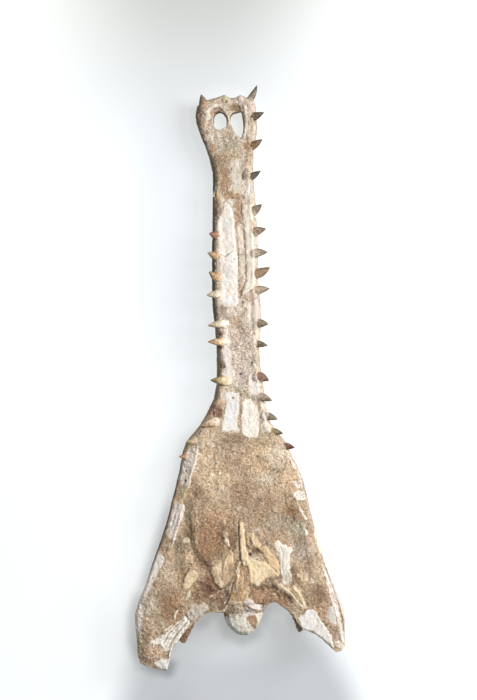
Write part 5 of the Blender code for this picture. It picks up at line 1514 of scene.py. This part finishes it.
# ---------------------------------------------------------------- operators
class SKULL_OT_skin(bpy.types.Operator):
    """Model the skull's bones and matrix as a fine skin over the bones' solid shapes"""
    bl_idname = "skull.skin"
    bl_label = "Bones and matrix"

    def execute(self, context):
        sizes, colours = context.scene.skull_sizes, context.scene.skull_colours
        names = [name for name in sorted(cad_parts) if name not in ROOF]
        fillings = [neck_piece(*row) for row in NECK]
        skin = joined([merged_copy(name) for name in names] + fillings, "snout")
        remeshed(skin, sizes.voxel_mm, sizes.smooth_steps)
        drop_specks(skin, SPECK_POINTS)
        detail_skin(skin.data, sizes)
        seam_y = (PALATE_END + PLAN_TO_FRAME_Y) / 1000
        front = [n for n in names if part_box(n)[0].y > seam_y - FRONT_REACH and n != "cranium_matrix"]
        cranium = split_at(skin, (0, seam_y, 0), (0, 1, 0), "cranium_right")
        left_half = split_at(cranium, (0, 0, 0), (1, 0, 0), "cranium_left")
        material = fossil_material(colours)
        finish_piece(skin, material, front)
        finish_piece(cranium, material, [n for n in names if n not in front])
        finish_piece(left_half, material)
        return {"FINISHED"}


class SKULL_OT_roof(bpy.types.Operator):
    """Model the skull roof that the skull lies on, with its fossae and prongs"""
    bl_idname = "skull.roof"
    bl_label = "Skull roof"

    def execute(self, context):
        roof = joined([merged_copy("skull_roof")], "skull_roof_bone")
        remeshed(roof, *ROOF_SKIN)
        points, normals = vertex_array(roof.data), normal_array(roof.data)
        bumps = 0.6 * grain(points, 14.0, 21) + 0.35 * grain(points, 5.0, 22)
        resting = ease(0.0, 2.0, points[:, 2])
        points += normals * (bumps * resting)[:, None]
        set_vertices(roof.data, keep_inside_cad(points))
        finish_piece(roof, roof_material(context.scene.skull_colours), ROOF)
        return {"FINISHED"}


class SKULL_OT_teeth(bpy.types.Operator):
    """Model the teeth left and right, each rooted in its jaw"""
    bl_idname = "skull.teeth"
    bl_label = "Teeth"

    def execute(self, context):
        rise = context.scene.skull_sizes.tooth_rise_mm
        material = tooth_material()
        master = tooth_master()
        for number, (name, row) in enumerate(TEETH.items()):
            finish_piece(place_tooth(master, name, row, number, rise), material)
        bpy.data.objects.remove(master)
        return {"FINISHED"}


class SKULL_OT_rods(bpy.types.Operator):
    """Model the two broken rods of bone that show behind the cranium"""
    bl_idname = "skull.rods"
    bl_label = "Rear rods"

    def execute(self, context):
        for name, (*place, dark, light) in RODS.items():
            finish_piece(place_rod(name, *place), rod_material(dark, light))
        return {"FINISHED"}


class SKULL_OT_stage(bpy.types.Operator):
    """Lay pale paper under the skull, light it softly from the right and aim the camera"""
    bl_idname = "skull.stage"
    bl_label = "Paper, lights and camera"

    def execute(self, context):
        clear_selection()
        paper = paper_sheet()
        paper.data.materials.append(paper_material(context.scene.skull_colours))
        for name, (place, size, power) in LIGHTS.items():
            light = bpy.data.lights.new(name, "AREA")
            light.shape = "SQUARE"
            light.size = size
            light.energy = power
            light.color = LIGHT_COLOUR
            lamp = bpy.data.objects.new(name, light)
            lamp.location = place
            lamp.rotation_euler = (-Vector(place)).to_track_quat("-Z", "Y").to_euler()
            context.scene.collection.objects.link(lamp)
        world = bpy.data.worlds.new("studio")
        world.use_nodes = True
        background = world.node_tree.nodes["Background"]
        background.inputs["Color"].default_value = (*WORLD_COLOUR, 1.0)
        background.inputs["Strength"].default_value = WORLD_STRENGTH
        context.scene.world = world
        context.scene.view_settings.view_transform = "Standard"
        lens = bpy.data.cameras.new("camera")
        lens.sensor_width = SENSOR
        lens.sensor_fit = "AUTO"
        lens.lens = FOCAL / max(IMAGE_SIZE) * SENSOR
        camera = bpy.data.objects.new("camera", lens)
        camera.location = (CAMERA_XY[0] / 1000, CAMERA_XY[1] / 1000, CAMERA_HEIGHT / 1000)
        camera.rotation_euler = (0.0, 0.0, CAMERA_ROLL)
        context.scene.collection.objects.link(camera)
        context.scene.camera = camera
        return {"FINISHED"}


class SKULL_PT_panel(bpy.types.Panel):
    """Sizes, colours and the steps that build the skull"""
    bl_label = "Fossil crocodile skull"
    bl_idname = "SKULL_PT_panel"
    bl_space_type = "VIEW_3D"
    bl_region_type = "UI"
    bl_category = "Skull"

    def draw(self, context):
        for group in (context.scene.skull_sizes, context.scene.skull_colours):
            for name in group.__annotations__:
                self.layout.prop(group, name)
        for operator in OPERATORS:
            self.layout.operator(operator.bl_idname)


OPERATORS = (SKULL_OT_skin, SKULL_OT_roof, SKULL_OT_teeth, SKULL_OT_rods, SKULL_OT_stage)
CLASSES = (SKULL_PG_sizes, SKULL_PG_colours, *OPERATORS, SKULL_PT_panel)


def register():
    for cls in CLASSES:
        bpy.utils.register_class(cls)
    bpy.types.Scene.skull_sizes = bpy.props.PointerProperty(type=SKULL_PG_sizes)
    bpy.types.Scene.skull_colours = bpy.props.PointerProperty(type=SKULL_PG_colours)


def unregister():
    del bpy.types.Scene.skull_colours
    del bpy.types.Scene.skull_sizes
    for cls in reversed(CLASSES):
        bpy.utils.unregister_class(cls)


def main():
    register()
    bpy.ops.skull.skin()
    bpy.ops.skull.roof()
    bpy.ops.skull.teeth()
    bpy.ops.skull.rods()
    bpy.ops.skull.stage()


if __name__ == "__main__":
    main()
